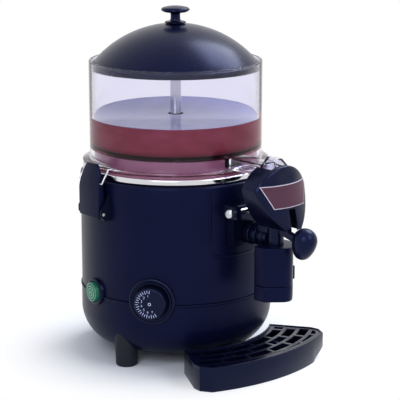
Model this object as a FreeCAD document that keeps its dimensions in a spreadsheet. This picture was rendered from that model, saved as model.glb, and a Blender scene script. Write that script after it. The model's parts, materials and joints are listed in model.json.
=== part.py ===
"""Hot chocolate dispenser: heated base, clear bowl with stirring paddle, lever tap and drip tray.

Millimetres. +Z is up, the tap points to -Y, and the origin is on the body's axis at the table.
"""
import FreeCAD, Part
import math
import os
import Sketcher
from FreeCAD import Placement, Rotation, Vector

OUT = "parts"
# Azimuth from the front and distance from the axis of each foot, the last one under the motor
FEET = ((-80, 110), (0, 104), (80, 110), (163, 116), (-163, 116), (0, 0))
X_AXIS = Vector(1, 0, 0)
Y_AXIS = Vector(0, 1, 0)
Z_AXIS = Vector(0, 0, 1)

doc = FreeCAD.newDocument("ChocolateDispenser")
sheet = doc.addObject("Spreadsheet::Sheet", "Dims")
parts = {}

DIMS = {
    # Housing
    "body_radius": 128.0, "wall": 3.0, "seam_z": 93.0, "shell_top": 248.0, "base_bottom": 22.0,
    "base_curve_z": 59.0, "base_edge_radius": 110.0, "base_hole_radius": 104.0, "lip_radius": 129.6,
    "foot_top_radius": 16.0, "foot_bottom_radius": 14.3,
    # Water bath and heater
    "bath_radius": 112.0, "bath_floor": 170.0, "bath_sheet": 1.5, "bath_rim_radius": 125.0,
    "bath_rim_z": 257.5, "heater_ring": 70.0, "heater_rod": 4.5,
    # Bowl
    "bowl_radius": 115.0, "bowl_wall": 3.0, "bowl_floor": 283.0, "bowl_rim": 394.0, "ledge_z": 383.0,
    "flange_radius": 124.5, "flange_z": 260.0,
    # Lid
    "dome_sphere": 144.5, "dome_top": 442.0, "lid_radius": 111.6, "lid_sheet": 2.5, "lid_edge_z": 389.4,
    "stem_radius": 6.4, "cap_radius": 19.0, "knob_top": 465.0,
    # Drive
    "shaft_radius": 4.0, "tube_radius": 7.0, "stem_outer": 7.2, "stem_top": 380.0,
    "motor_radius": 30.0, "gearbox_radius": 40.0, "gearbox_top": 162.0, "gearbox_height": 30.0,
    # Tap
    "tap_axis": 185.0, "column_radius": 10.7, "column_bottom": 150.0, "arm_z": 184.0,
    "arm_radius": 11.5, "pivot_y": 171.0, "pivot_z": 203.0, "lever_rest": 15.8, "lever_reach": 65.5,
    "pin_y": 146.0, "pin_z": 216.0, "pin_half": 46.0,
    "cover_half": 45.0, "cover_bow": 78.0, "cover_tilt": 14.04, "cover_wall": 2.5,
    "spout_bottom": 105.0, "spout_split": 125.0, "spout_top": 176.0, "spout_half": 27.0,
    # Controls
    "dial_azimuth": -57.2, "dial_z": 97.5, "bezel_radius": 30.6, "dial_radius": 21.5,
    "switch_azimuth": -98.5, "switch_z": 96.5, "switch_bezel": 18.0, "button_radius": 13.0,
    "gland_azimuth": 158.0, "gland_z": 62.0,
    # Latches
    "latch_azimuth": 96.0, "latch_half": 22.0, "latch_bottom": 200.0, "latch_top": 271.0,
    "latch_pin_r": 137.2, "latch_pin_z": 207.7,
    # Drip tray
    "tray_rear": 128.0, "tray_height": 33.0, "tray_wall": 2.6, "tray_front_curve": 254.5,
    "grate_bottom": 28.5, "grate_top": 32.0,
}
for row, (alias, number) in enumerate(DIMS.items(), start=1):
    sheet.set("A%d" % row, alias)
    sheet.set("B%d" % row, "%g" % number)
    sheet.setAlias("B%d" % row, alias)
doc.recompute()


def size(expression):
    """Value in millimetres or degrees of an expression of the sheet's names."""
    return float(sheet.evalExpression(str(expression)))


def bound(expression):
    """The same expression written so that another object can use it."""
    text = str(expression)
    for alias in sorted(DIMS, key=len, reverse=True):
        text = text.replace(alias, "Dims.@" + alias[::-1] + "@")
    pieces = text.split("@")
    return "".join(p[::-1] if i % 2 else p for i, p in enumerate(pieces))


def origin_plane(body, role):
    """A body's own origin plane or axis by its role."""
    return [f for f in body.Origin.OriginFeatures if f.Role == role][0]


def arc_geometry(start, end, radius):
    """Arc from start to end: a positive radius turns left, a negative one turns right."""
    chord = end - start
    half = chord.Length / 2.0
    normal = Vector(-chord.y, chord.x, 0).normalize()
    height = math.sqrt(max(radius * radius - half * half, 0.0))
    centre = (start + end) * 0.5 + normal * (height if radius > 0 else -height)
    first, last = (start, end) if radius > 0 else (end, start)
    a0 = math.atan2(first.y - centre.y, first.x - centre.x)
    a1 = math.atan2(last.y - centre.y, last.x - centre.x)
    if a1 <= a0:
        a1 += 2 * math.pi
    return Part.ArcOfCircle(Part.Circle(centre, Z_AXIS, abs(radius)), a0, a1)


def sketch_loop(sketch, loop):
    """Adds one closed loop of points (x, y) or (x, y, radius of the arc to the next point)."""
    points = [Vector(size(p[0]), size(p[1]), 0) for p in loop]
    first = sketch.GeometryCount
    ends = []
    for i, point in enumerate(loop):
        start, end = points[i], points[(i + 1) % len(loop)]
        if len(point) > 2:
            radius = size(point[2])
            index = sketch.addGeometry(arc_geometry(start, end, radius), False)
            ends.append((1, 2) if radius > 0 else (2, 1))
            rule = sketch.addConstraint(Sketcher.Constraint("Radius", index, abs(radius)))
            text = bound(point[2])
            sketch.setExpression("Constraints[%d]" % rule, text if radius > 0 else "-(%s)" % text)
        else:
            sketch.addGeometry(Part.LineSegment(start, end), False)
            ends.append((1, 2))
    for i, point in enumerate(loop):
        after = (i + 1) % len(loop)
        joint = Sketcher.Constraint("Coincident", first + i, ends[i][1], first + after, ends[after][0])
        sketch.addConstraint(joint)
        for kind, axis, value, text in (("DistanceX", -2, points[i].x, point[0]),
                                        ("DistanceY", -1, points[i].y, point[1])):
            if abs(value) < 1e-9:
                sketch.addConstraint(Sketcher.Constraint("PointOnObject", first + i, ends[i][0], axis))
                continue
            rule = sketch.addConstraint(
                Sketcher.Constraint(kind, -1, 1, first + i, ends[i][0], value))
            sketch.setExpression("Constraints[%d]" % rule, bound(text))


def new_sketch(body, name, role, loops, offset="0"):
    """A sketch on one of the body's origin planes, moved along its normal."""
    sketch = body.newObject("Sketcher::SketchObject", name)
    sketch.AttachmentSupport = [(origin_plane(body, role), "")]
    sketch.MapMode = "FlatFace"
    sketch.setExpression("AttachmentOffset.Base.z", bound(offset))
    doc.recompute()
    for loop in loops:
        sketch_loop(sketch, loop)
    return sketch


def named(obj, label, keep=True):
    """Labels an object and, unless it is only a tool, lists it as a sub-part."""
    obj.Label = label
    if keep:
        parts[label] = obj
    return obj


def turned(label, loop, keep=True):
    """A piece turned about Z from its half outline (radius, height)."""
    body = doc.addObject("PartDesign::Body", label)
    sketch = new_sketch(body, label + "_outline", "XZ_Plane", [loop])
    turn = body.newObject("PartDesign::Revolution", label + "_turn")
    turn.Profile = sketch
    turn.ReferenceAxis = (sketch, ["V_Axis"])
    turn.Angle = 360.0
    doc.recompute()
    return named(body, label, keep)


def padded(label, role, loops, start, length, keep=True):
    """A piece padded from loops on an origin plane, from start along the plane's normal."""
    body = doc.addObject("PartDesign::Body", label)
    sketch = new_sketch(body, label + "_outline", role, loops, start)
    pad = body.newObject("PartDesign::Pad", label + "_pad")
    pad.Profile = sketch
    pad.setExpression("Length", bound(length))
    doc.recompute()
    return named(body, label, keep)


def cylinder(label, radius, height, place, keep=True):
    """A plain cylinder along its own Z."""
    obj = doc.addObject("Part::Cylinder", label)
    obj.setExpression("Radius", bound(radius))
    obj.setExpression("Height", bound(height))
    obj.Placement = place
    return named(obj, label, keep)


def box(label, low, high, keep=True):
    """A box between two corners, given as expressions."""
    obj = doc.addObject("Part::Box", label)
    for side, a, b in zip(("Length", "Width", "Height"), low, high):
        obj.setExpression(side, "%s - (%s)" % (bound(b), bound(a)))
    for axis, a in zip("xyz", low):
        obj.setExpression("Placement.Base." + axis, bound(a))
    return named(obj, label, keep)


def joined(label, pieces, keep=True):
    """Several solids fused into one."""
    obj = doc.addObject("Part::MultiFuse", label)
    obj.Shapes = pieces
    obj.Refine = True
    doc.recompute()
    return named(obj, label, keep)


def cut(label, base, tool, keep=True):
    """A base without the tool's volume; the tool must take something away."""
    obj = doc.addObject("Part::Cut", label)
    obj.Base = base
    obj.Tool = tool
    obj.Refine = True
    doc.recompute()
    if not obj.Shape.Volume < base.Shape.Volume - 1e-3:
        raise RuntimeError(label + ": the tool takes nothing away")
    return named(obj, label, keep)


def common(label, base, tool, keep=True):
    """The volume that two solids share."""
    obj = doc.addObject("Part::Common", label)
    obj.Base = base
    obj.Tool = tool
    obj.Refine = True
    doc.recompute()
    return named(obj, label, keep)


def feature(label, shape, place=Placement(), keep=True):
    """A piece whose shape is worked out here, as neither a body nor a primitive fits."""
    obj = doc.addObject("Part::Feature", label)
    obj.Shape = shape
    obj.Placement = place
    return named(obj, label, keep)


def upright(x="0", y="0", z="0"):
    """Placement of a piece whose Z stays up."""
    return Placement(Vector(size(x), size(y), size(z)), Rotation())


def across(x, y, z):
    """Placement that lays a piece's Z along +X."""
    return Placement(Vector(size(x), size(y), size(z)), Rotation(Y_AXIS, 90))


def forward(x, y, z):
    """Placement that lays a piece's Z along -Y."""
    return Placement(Vector(size(x), size(y), size(z)), Rotation(X_AXIS, 90))


def around(azimuth):
    """Placement that turns a piece made at the front to an azimuth about the body."""
    return Placement(Vector(), Rotation(Z_AXIS, size(azimuth)))


def on_wall(azimuth, height, radius="body_radius"):
    """Placement whose Z points out of the body's wall at an azimuth and a height."""
    return around(azimuth) * forward("0", "-(%s)" % radius, height)


def ring_loop(inner, outer, low, high):
    """Half outline of a plain ring."""
    return [(inner, low), (outer, low), (outer, high), (inner, high)]


def disc_loop(outer, low, high):
    """Half outline of a plain disc."""
    return [("0", low), (outer, low), (outer, high), ("0", high)]


def circle_points(count, radius, start=0.0):
    """Points evenly spaced on a circle."""
    return [Vector(radius * math.sin(math.radians(start + 360.0 * i / count)),
                   -radius * math.cos(math.radians(start + 360.0 * i / count)), 0)
            for i in range(count)]


# Housing shells
def control_holes():
    """Round tools for the dial, the switch and the cable gland in both shells."""
    dial = cylinder("dial_hole", "bezel_radius + 0.15", "60",
                    on_wall("dial_azimuth", "dial_z", "body_radius - 40"), False)
    switch = cylinder("switch_hole", "switch_bezel + 0.15", "60",
                      on_wall("switch_azimuth", "switch_z", "body_radius - 40"), False)
    gland = cylinder("gland_hole", "8.2", "60", on_wall("gland_azimuth", "gland_z", "body_radius - 40"),
                     False)
    return joined("control_holes", [dial, switch, gland], False)


def make_base_shell(holes):
    """Lower shell: a short wall that curves in to the bottom plate."""
    turned("base_shell_solid", [
        ("base_hole_radius", "base_bottom"), ("base_edge_radius", "base_bottom + 1", "52"),
        ("body_radius + 0.6", "base_curve_z"), ("body_radius + 0.6", "seam_z - 3.6"),
        ("lip_radius", "seam_z - 2.8"), ("lip_radius", "seam_z - 0.3"),
        ("body_radius - wall", "seam_z - 0.3"), ("body_radius - wall", "base_curve_z", "-49"),
        ("base_edge_radius - 2", "base_bottom + wall + 1"), ("base_hole_radius", "base_bottom + wall")],
        False)
    cut("base_shell", doc.getObject("base_shell_solid"), holes)


def surround_relief():
    """Raised border on the wall about the tap: a rounded frame open at the top."""
    def frame(half, low):
        return [("-(%s)" % half, "shell_top - 6"), ("-(%s)" % half, "%s + 14" % low, "14"),
                ("14 - %s" % half, low), ("%s - 14" % half, low, "14"),
                (half, "%s + 14" % low), (half, "shell_top - 6")]
    outer = padded("surround_outer", "XZ_Plane", [frame("54", "150")], "90", "60", False)
    inner = padded("surround_inner", "XZ_Plane", [frame("47", "157")], "88", "64", False)
    band = cut("surround_band", outer, inner, False)
    skin = turned("surround_skin", ring_loop("body_radius - 1", "body_radius + 1.3", "140", "shell_top"),
                  False)
    return common("surround_relief", skin, band, False)


def make_body_shell(holes):
    """Upper shell: a straight wall with a rolled top edge and the tap's raised surround."""
    shell = turned("body_shell_wall", [
        ("body_radius - wall", "seam_z"), ("body_radius", "seam_z"),
        ("body_radius", "shell_top - 4", "4"), ("body_radius - 4", "shell_top"),
        ("body_radius - 13", "shell_top"), ("body_radius - 13", "shell_top - 2.5"),
        ("body_radius - wall", "shell_top - 2.5")], False)
    solid = joined("body_shell_solid", [shell, surround_relief()], False)
    cut("body_shell", solid, holes)


def make_bottom():
    """Bottom plate with vents, five feet that rise beside the base's curve, and one at the centre."""
    plate = turned("bottom_disc", disc_loop("base_hole_radius - 0.2", "base_bottom", "base_bottom + 2.5"),
                   False)
    vents = [cylinder("vent_%d" % i, "5", "10", Placement(p + Vector(0, 0, 17), Rotation()), False)
             for i, p in enumerate(circle_points(8, 45.0))]
    cut("bottom_plate", plate, joined("vents", vents, False))
    shadow = turned("base_shadow", [
        ("0", "base_bottom - 0.1"), ("base_hole_radius", "base_bottom - 0.1"),
        ("base_edge_radius + 0.1", "base_bottom + 0.9", "52.1"), ("body_radius + 0.7", "base_curve_z"),
        ("0", "base_curve_z")], False)
    for i, (azimuth, ring) in enumerate(FEET, start=1):
        post = turned("foot_post_%d" % i, [
            ("0", "0"), ("foot_bottom_radius - 1.5", "0"), ("foot_bottom_radius", "1.5"),
            ("foot_top_radius", "46"), ("0", "46")], False)
        turn = math.radians(azimuth)
        post.Placement = Placement(Vector(ring * math.sin(turn), -ring * math.cos(turn), 0), Rotation())
        cut("foot_%d" % i, post, shadow)


# Water bath and heater
def make_bath():
    """Steel water bath under the bowl, with a bright rolled rim that shows above the shell."""
    pan = turned("water_bath_pan", [
        ("tube_radius + 0.1", "bath_floor"), ("bath_radius", "bath_floor"),
        ("bath_radius", "bath_rim_z - 8.6"), ("bath_rim_radius - 3", "bath_rim_z - 8.6", "3"),
        ("bath_rim_radius", "bath_rim_z - 5.6"), ("bath_rim_radius", "bath_rim_z - 2.5", "2.5"),
        ("bath_rim_radius - 2.5", "bath_rim_z"), ("bath_radius - bath_sheet", "bath_rim_z"),
        ("bath_radius - bath_sheet", "bath_floor + bath_sheet"),
        ("tube_radius + 0.1", "bath_floor + bath_sheet")], False)
    turned("shaft_tube", [
        ("5.2", "bath_floor - 2"), ("tube_radius + 4", "bath_floor - 2"),
        ("tube_radius + 4", "bath_floor - 0.1"),
        ("tube_radius", "bath_floor - 0.1"), ("tube_radius", "bowl_floor + 12"), ("5.2", "bowl_floor + 12")])
    ring = Part.makeTorus(size("heater_ring"), size("heater_rod"), Vector(0, 0, size("bath_floor") + 12))
    legs = [Part.makeCylinder(size("heater_rod"), 24, Vector(x, size("heater_ring"), size("bath_floor") - 12))
            for x in (-14, 14)]
    hole_tools = [Part.makeCylinder(size("heater_rod") + 0.2, 24, leg.BoundBox.Center - Vector(0, 0, 12))
                  for leg in legs]
    holes = feature("heater_holes", Part.makeCompound(hole_tools), keep=False)
    cut("water_bath", pan, holes)
    feature("heater_element", ring.fuse(legs))
    seal = turned("gasket_ring", [
        ("bath_radius - 8", "bath_rim_z - 3"), ("bath_radius - 2.6", "bath_rim_z - 3"),
        ("bath_radius - 2.6", "bath_rim_z + 0.1"), ("bath_rim_radius - 3.5", "bath_rim_z + 0.1"),
        ("bath_rim_radius - 3.5", "flange_z - 0.1"), ("bath_radius - 3.2", "flange_z - 0.1"),
        ("bath_radius - 3.2", "bowl_floor - 6"), ("bath_radius - 8", "bowl_floor - 6")], False)
    notch = box("gasket_notch", ("0 - 15.6", "0 - 122", "flange_z + 3"),
                ("15.6", "0 - 90", "flange_z + 30"), False)
    cut("bath_gasket", seal, notch)


# Bowl
def make_bowl():
    """Clear bowl: wall, floor, flange skirt and the hollow outlet that leads to the tap."""
    inner = "bowl_radius - bowl_wall"
    vessel = turned("bowl_vessel", [
        ("tube_radius + 0.3", "bowl_floor - 3"), (inner + " - 5", "bowl_floor - 3"),
        (inner + " - 2.6", "bowl_floor - 5.5"), (inner + " - 2.6", "flange_z + 2"),
        (inner + " - 0.6", "flange_z"), ("flange_radius - 0.6", "flange_z"),
        ("flange_radius", "flange_z + 0.6"), ("flange_radius", "flange_z + 2.8"),
        ("flange_radius - 0.6", "flange_z + 3.4"), ("bowl_radius + 3", "flange_z + 3.8"),
        ("bowl_radius", "flange_z + 7"), ("bowl_radius", "bowl_rim - 1", "1"),
        ("bowl_radius - 1", "bowl_rim"), (inner + " + 0.5", "bowl_rim"), (inner, "bowl_rim - 0.5"),
        (inner, "ledge_z"), (inner + " - 1.6", "ledge_z"), (inner + " - 1.6", "bowl_floor + 9", "0 - 9"),
        (inner + " - 10.6", "bowl_floor"), ("tube_radius + 3.3", "bowl_floor"),
        ("tube_radius + 3.3", "bowl_floor + 8"), ("tube_radius + 0.3", "bowl_floor + 8")], False)
    gable = padded("outlet_gable", "XZ_Plane", [[
        ("0 - 17", "flange_z + 4"), ("17", "flange_z + 4"), ("17", "flange_z + 15"), ("3", "flange_z + 28.5"),
        ("0 - 3", "flange_z + 28.5"), ("0 - 17", "flange_z + 15")]], "tap_axis - 14", "21.2", False)
    room = padded("outlet_room", "XZ_Plane", [[
        ("0 - 14.4", "flange_z + 6.6"), ("14.4", "flange_z + 6.6"), ("14.4", "flange_z + 13.8"),
        ("2", "flange_z + 25.8"), ("0 - 2", "flange_z + 25.8"), ("0 - 14.4", "flange_z + 13.8")]],
        "tap_axis - 11.4", "16", False)
    channel = box("outlet_channel", ("0 - 15", "-tap_axis", "flange_z + 4"),
                  ("15", "0 - 93", "bowl_floor - 2"), False)
    duct = box("outlet_duct", ("0 - 12.4", "-tap_axis", "flange_z + 6.6"),
               ("12.4", "0 - 96", "bowl_floor - 5"), False)
    neck = cylinder("outlet_neck", "9.6", "20", upright("0", "-tap_axis", "flange_z - 14"), False)
    bore = cylinder("outlet_bore", "7.5", "24", upright("0", "-tap_axis", "flange_z - 15"), False)
    mouth = box("outlet_mouth", ("0 - 12.4", "0 - 106", "flange_z + 10"),
                ("12.4", "0 - 96", "bowl_floor + 1"), False)
    whole = joined("bowl_solid", [vessel, gable, channel, neck], False)
    cut("bowl", whole, joined("outlet_passage", [room, duct, mouth, bore], False))


# Lid
def make_lid():
    """Black dome whose skirt drops inside the rim, with a turned knob, its washer and its screw."""
    turned("lid_dome", [
        ("3.2", "dome_top - lid_sheet"), ("3.2", "dome_top", "0 - dome_sphere"),
        ("lid_radius", "lid_edge_z"), ("lid_radius", "ledge_z + 0.2"),
        ("lid_radius - 2.2", "ledge_z + 0.2"),
        ("lid_radius - 2.2", "lid_edge_z - 1.4", "dome_sphere - 2")])
    turned("lid_washer", [
        ("3.2", "dome_top + 0.1"), ("13", "dome_top + 0.1"), ("14.5", "dome_top + 0.9"),
        ("12", "dome_top + 3"), ("3.2", "dome_top + 3")])
    turned("lid_knob", [
        ("0", "dome_top + 3.1"), ("stem_radius + 1.2", "dome_top + 3.1"), ("stem_radius", "dome_top + 6"),
        ("stem_radius", "knob_top - 9"), ("cap_radius - 5", "knob_top - 8.2"),
        ("cap_radius", "knob_top - 6.2", "6"), ("cap_radius - 4.5", "knob_top - 1.6", "62"),
        ("1.5", "knob_top"), ("0", "knob_top")])
    turned("lid_screw", [
        ("0", "dome_top - 8"), ("6", "dome_top - 8"), ("6", "dome_top - lid_sheet - 0.4"),
        ("2.9", "dome_top - lid_sheet - 0.4"), ("2.9", "dome_top + 3.05"), ("0", "dome_top + 3.05")])


# Stirrer and its drive
def make_drive():
    """Gear motor under the bath, its bracket and screws, and the shaft up to the stirrer."""
    under = "gearbox_top - gearbox_height"
    turned("gearbox", [
        ("shaft_radius + 0.5", under), ("gearbox_radius", under), ("gearbox_radius", "gearbox_top - 2"),
        ("gearbox_radius - 2", "gearbox_top"), ("shaft_radius + 0.5", "gearbox_top")])
    turned("motor_body", [
        ("0", under + " - 48"), ("motor_radius - 3", under + " - 48"), ("motor_radius", under + " - 45"),
        ("motor_radius", under + " - 0.2"), ("0", under + " - 0.2")])
    reach = "body_radius - 12"
    bar = box("bracket_bar", ("-(%s)" % reach, "0 - 20", "gearbox_top + 0.2"),
              (reach, "20", "gearbox_top + 3.2"), False)
    ends = [box("bracket_end_%d" % i, (low, "0 - 20", "gearbox_top - 27"),
                (high, "20", "gearbox_top + 3.2"), False)
            for i, (low, high) in enumerate((("-(%s)" % reach, "3 - (%s)" % reach), (reach + " - 3", reach)))]
    hole = cylinder("bracket_hole", "11.5", "20", upright("0", "0", "gearbox_top - 5"), False)
    cut("motor_bracket", joined("bracket_solid", [bar] + ends, False), hole)
    screws = [Part.makeCylinder(3.5, 2.5, Vector(x, y, size("gearbox_top") + 3.3))
              for x in (-28, 28) for y in (-12, 12)]
    feature("motor_screws", Part.makeCompound(screws))
    turned("shaft_bush", ring_loop("shaft_radius + 0.05", "5.15", "bowl_floor - 6", "bowl_floor + 10"))
    turned("drive_shaft", disc_loop("shaft_radius", under + " + 0.2", "bowl_floor + 60"))


def make_agitator():
    """Steel stem over the shaft tube with a cap, and the black paddle that sweeps the floor."""
    turned("agitator_stem", [
        ("tube_radius + 0.6", "bowl_floor + 13.5"), ("tube_radius + 2.4", "bowl_floor + 13.5"),
        ("tube_radius + 2.4", "bowl_floor + 20"), ("stem_outer", "bowl_floor + 22"),
        ("stem_outer", "stem_top"),
        ("shaft_radius + 0.02", "stem_top"), ("shaft_radius + 0.02", "bowl_floor + 20"),
        ("tube_radius + 0.6", "bowl_floor + 18")])
    turned("agitator_cap", [
        ("0", "bowl_floor + 60.3"), ("shaft_radius - 0.03", "bowl_floor + 60.3"),
        ("shaft_radius - 0.03", "stem_top + 0.1"), ("10", "stem_top + 0.1"), ("10", "stem_top + 1.6"),
        ("8.5", "stem_top + 2.6"), ("0", "stem_top + 2.6")])
    hub = turned("paddle_hub", ring_loop("tube_radius + 3.8", "tube_radius + 8", "bowl_floor + 1",
                                         "bowl_floor + 21"), False)
    collar = turned("paddle_collar", ring_loop("tube_radius + 2.45", "tube_radius + 8", "bowl_floor + 14",
                                               "bowl_floor + 21"), False)
    blades = []
    for name, way in (("paddle_blade", ""), ("paddle_vane", "0 - ")):
        arc = way or "0 + "
        blades.append(padded(name, "XY_Plane", [[
            (way + "13", way + "(-4)"), (way + "60", way + "(-15)"), (way + "98", arc + "2"),
            (way + "97", arc + "9"), (way + "58", way + "(-8)"), (way + "13", arc + "4")]],
            "bowl_floor + 1", "13", False))
    joined("agitator_paddle", [hub, collar] + blades)


# Tap
def make_tap_body():
    """Bracket on the wall, the arm and column moulding, its pins and its seal."""
    block = box("mount_block", ("0 - 30", "-(body_radius + 11)", "arm_z - 16"),
                ("30", "-(body_radius - 14)", "pin_z + 8"), False)
    ears = [box("mount_ear_%d" % i, (low, "-(pin_y + 7)", "pin_z - 8"),
                (high, "-(body_radius - 14)", "pin_z + 8"), False)
            for i, (low, high) in enumerate((("0 - 38", "0 - 30"), ("30", "38")))]
    wall = cylinder("mount_wall", "body_radius + 1.5", "120", upright("0", "0", "150"), False)
    pin_hole = cylinder("mount_pin_hole", "4.05", "100", across("0 - 50", "-pin_y", "pin_z"), False)
    tools = joined("mount_tools", [wall, pin_hole], False)
    cut("tap_mount", joined("mount_solid", [block] + ears, False), tools)
    pin = cylinder("pin_rod", "4", "2 * pin_half", across("-pin_half", "-pin_y", "pin_z"), False)
    heads = [cylinder("pin_head_%d" % i, "6.2", "3", across(x, "-pin_y", "pin_z"), False)
             for i, x in enumerate(("-(pin_half + 2)", "pin_half - 1"))]
    joined("tap_pin", [pin] + heads)
    column = turned("tap_column", [
        ("5", "column_bottom"), ("column_radius", "column_bottom"), ("column_radius", "pivot_z + 33"),
        ("13.5", "pivot_z + 35"), ("13.5", "flange_z - 8"), ("11.5", "flange_z - 8"),
        ("11.5", "flange_z - 16"),
        ("6", "flange_z - 16"), ("6", "flange_z - 20"), ("9.5", "flange_z - 20"), ("9.5", "pivot_z + 15"),
        ("8", "pivot_z + 15"), ("8", "column_bottom + 4"), ("5", "column_bottom + 4")], False)
    column.Placement = upright("0", "-tap_axis", "0")
    arm = cylinder("tap_arm", "arm_radius", "tap_axis - body_radius - 19",
                   forward("0", "-(body_radius + 11.2)", "arm_z"), False)
    cheeks = [box("pivot_ear_%d" % i, (low, "-(pivot_y + 9)", "pivot_z - 11"),
                  (high, "-(pivot_y - 7)", "pivot_z + 7"), False)
              for i, (low, high) in enumerate((("0 - 10", "0 - 5.2"), ("5.2", "10")))]
    solid = joined("tap_moulding", [column, arm] + cheeks, False)
    slot = box("lever_slot_front", ("0 - 5", "-(tap_axis + 15)", "pivot_z - 12.5"),
               ("5", "-tap_axis", "pivot_z + 25"), False)
    back = box("lever_slot_back", ("0 - 5", "-(tap_axis + 1)", "pivot_z - 6.8"),
               ("5", "-(pivot_y - 9)", "pivot_z + 25"), False)
    bore = cylinder("column_bore", "8", "pivot_z + 11 - column_bottom",
                    upright("0", "-tap_axis", "column_bottom + 4"), False)
    holes = cylinder("pivot_holes", "2.55", "30", across("0 - 15", "-pivot_y", "pivot_z"), False)
    cut("tap_body", solid, joined("tap_tools", [slot, back, bore, holes], False))
    cylinder("lever_pin", "2.5", "21", across("0 - 10.5", "-pivot_y", "pivot_z"))
    seal = turned("column_seal", ring_loop("9.65", "11.45", "flange_z - 12.5", "flange_z - 9.5"))
    seal.Placement = upright("0", "-tap_axis", "0")


def make_valve():
    """Plunger with its window for the lever, the seal on its foot, and the return spring."""
    stem = turned("plunger_turned", [
        ("0", "column_bottom + 8.2"), ("3.5", "column_bottom + 8.2"), ("3.5", "pivot_z - 21"),
        ("7.7", "pivot_z - 19"), ("7.7", "pivot_z + 13"), ("4.9", "pivot_z + 13"),
        ("4.9", "flange_z - 14.5"), ("0", "flange_z - 14.5")], False)
    window = box("plunger_window", ("0 - 4.6", "0 - 12", "pivot_z - 14.5"), ("4.6", "12", "pivot_z + 9.5"),
                 False)
    plunger = cut("valve_plunger", stem, window)
    plunger.Placement = upright("0", "-tap_axis", "0")
    seal = turned("plunger_seal", [
        ("0", "column_bottom + 4.1"), ("6.5", "column_bottom + 4.1"), ("7.6", "column_bottom + 5.2"),
        ("7.6", "column_bottom + 8.1"), ("0", "column_bottom + 8.1")])
    seal.Placement = upright("0", "-tap_axis", "0")
    low = size("pivot_z + 13.9")
    high = size("flange_z - 20.9")
    coil = 7.2
    turns = 5.0
    helix = Part.makeHelix((high - low) / turns, high - low, coil)
    section = Part.Wire(Part.makeCircle(0.8, Vector(coil, 0, 0), Y_AXIS))
    spring = Part.Wire(helix).makePipeShell([section], True, True)
    feature("valve_spring", spring, Placement(Vector(0, -size("tap_axis"), low), Rotation()))


def make_lever():
    """Lever arm with its hub, made level and then dropped to its rest angle, and the egg knob."""
    rest = Placement(Vector(0, -size("pivot_y"), size("pivot_z")), Rotation(X_AXIS, size("lever_rest")))
    hub = cylinder("lever_hub", "6.2", "8.8", across("0 - 4.4", "0", "0"), False)
    arm = box("lever_bar", ("0 - 4", "-(lever_reach - 12)", "0 - 4"), ("4", "0", "4"), False)
    hole = cylinder("lever_bore", "2.6", "20", across("0 - 10", "0", "0"), False)
    tang = cylinder("lever_tang", "4", "4.8", forward("0", "-(lever_reach - 13)", "0"), False)
    lever = cut("lever_arm", joined("lever_solid", [hub, arm, tang], False), hole)
    lever.Placement = rest
    knob = turned("knob_egg", [
        ("0", "0 - 21"), ("1.5", "0 - 21", "16.5"), ("15.8", "0 - 4", "35.3"), ("10.16", "15.15", "12.24"),
        ("1.5", "21"), ("0", "21")], False)
    knob.Placement = Placement(Vector(0, -size("lever_reach"), 0), Rotation(X_AXIS, 180))
    socket = cylinder("knob_socket", "4.05", "5", forward("0", "-(lever_reach - 13)", "0"), False)
    bar = box("knob_slot", ("0 - 4.05", "-(lever_reach - 11.9)", "0 - 4.05"),
              ("4.05", "-(lever_reach - 20)", "4.05"), False)
    egg = cut("lever_knob", knob, joined("knob_tools", [socket, bar], False))
    egg.Placement = rest


def pick_outline(inset, base):
    """Outline of the tap cover in the front view: round top, sides that taper to a narrow foot."""
    half = "cover_half - %s" % inset
    foot = "13 - 0.6 * %s" % inset
    return [("-(%s)" % foot, base), (foot, base), (foot, "200", "95"),
            (half, "252", "50.2 - %s" % inset), ("-(%s)" % half, "252", "95"), ("-(%s)" % foot, "200")]


def bow(label, radius):
    """Leaning cylinder whose front is the cover's face."""
    lean = Placement(Vector(0, -size("229.75 - cover_bow"), 150), Rotation(X_AXIS, -size("cover_tilt")))
    return cylinder(label, radius, "190", lean, False)


def make_tap_cover():
    """Bowed cover with a skirt and the lever's slot, and its bare label plate."""
    outer = common("cover_outer", padded("cover_pick", "XZ_Plane", [pick_outline("0", "199")], "168", "60",
                                         False),
                   bow("cover_face", "cover_bow"), False)
    inner = common("cover_inner", padded("cover_void", "XZ_Plane", [pick_outline("cover_wall", "190")],
                                         "160", "66", False),
                   bow("cover_back", "cover_bow - cover_wall"), False)
    shell = cut("cover_shell", outer, inner, False)
    slot = box("cover_slot", ("0 - 5.5", "-(tap_axis + 40)", "190"), ("5.5", "-(tap_axis - 40)", "226.5"),
               False)
    gap = box("cover_gap", ("0 - 17.7", "-(tap_axis + 8.6)", "255"), ("17.7", "-(tap_axis - 30)", "300"),
              False)
    cut("tap_cover", shell, joined("cover_openings", [slot, gap], False))
    plate = padded("label_outline", "XZ_Plane", [[
        ("0 - 27", "229.5"), ("27", "229.5"), ("40", "258"), ("0 - 40", "258")]], "150", "80", False)
    face = cut("label_skin", bow("label_front", "cover_bow + 0.9"), bow("label_back", "cover_bow + 0.05"),
               False)
    front = box("label_zone", ("0 - 60", "-(tap_axis + 60)", "200"), ("60", "-(tap_axis - 25)", "290"), False)
    common("label_plate", common("label_piece", plate, face, False), front)


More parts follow.
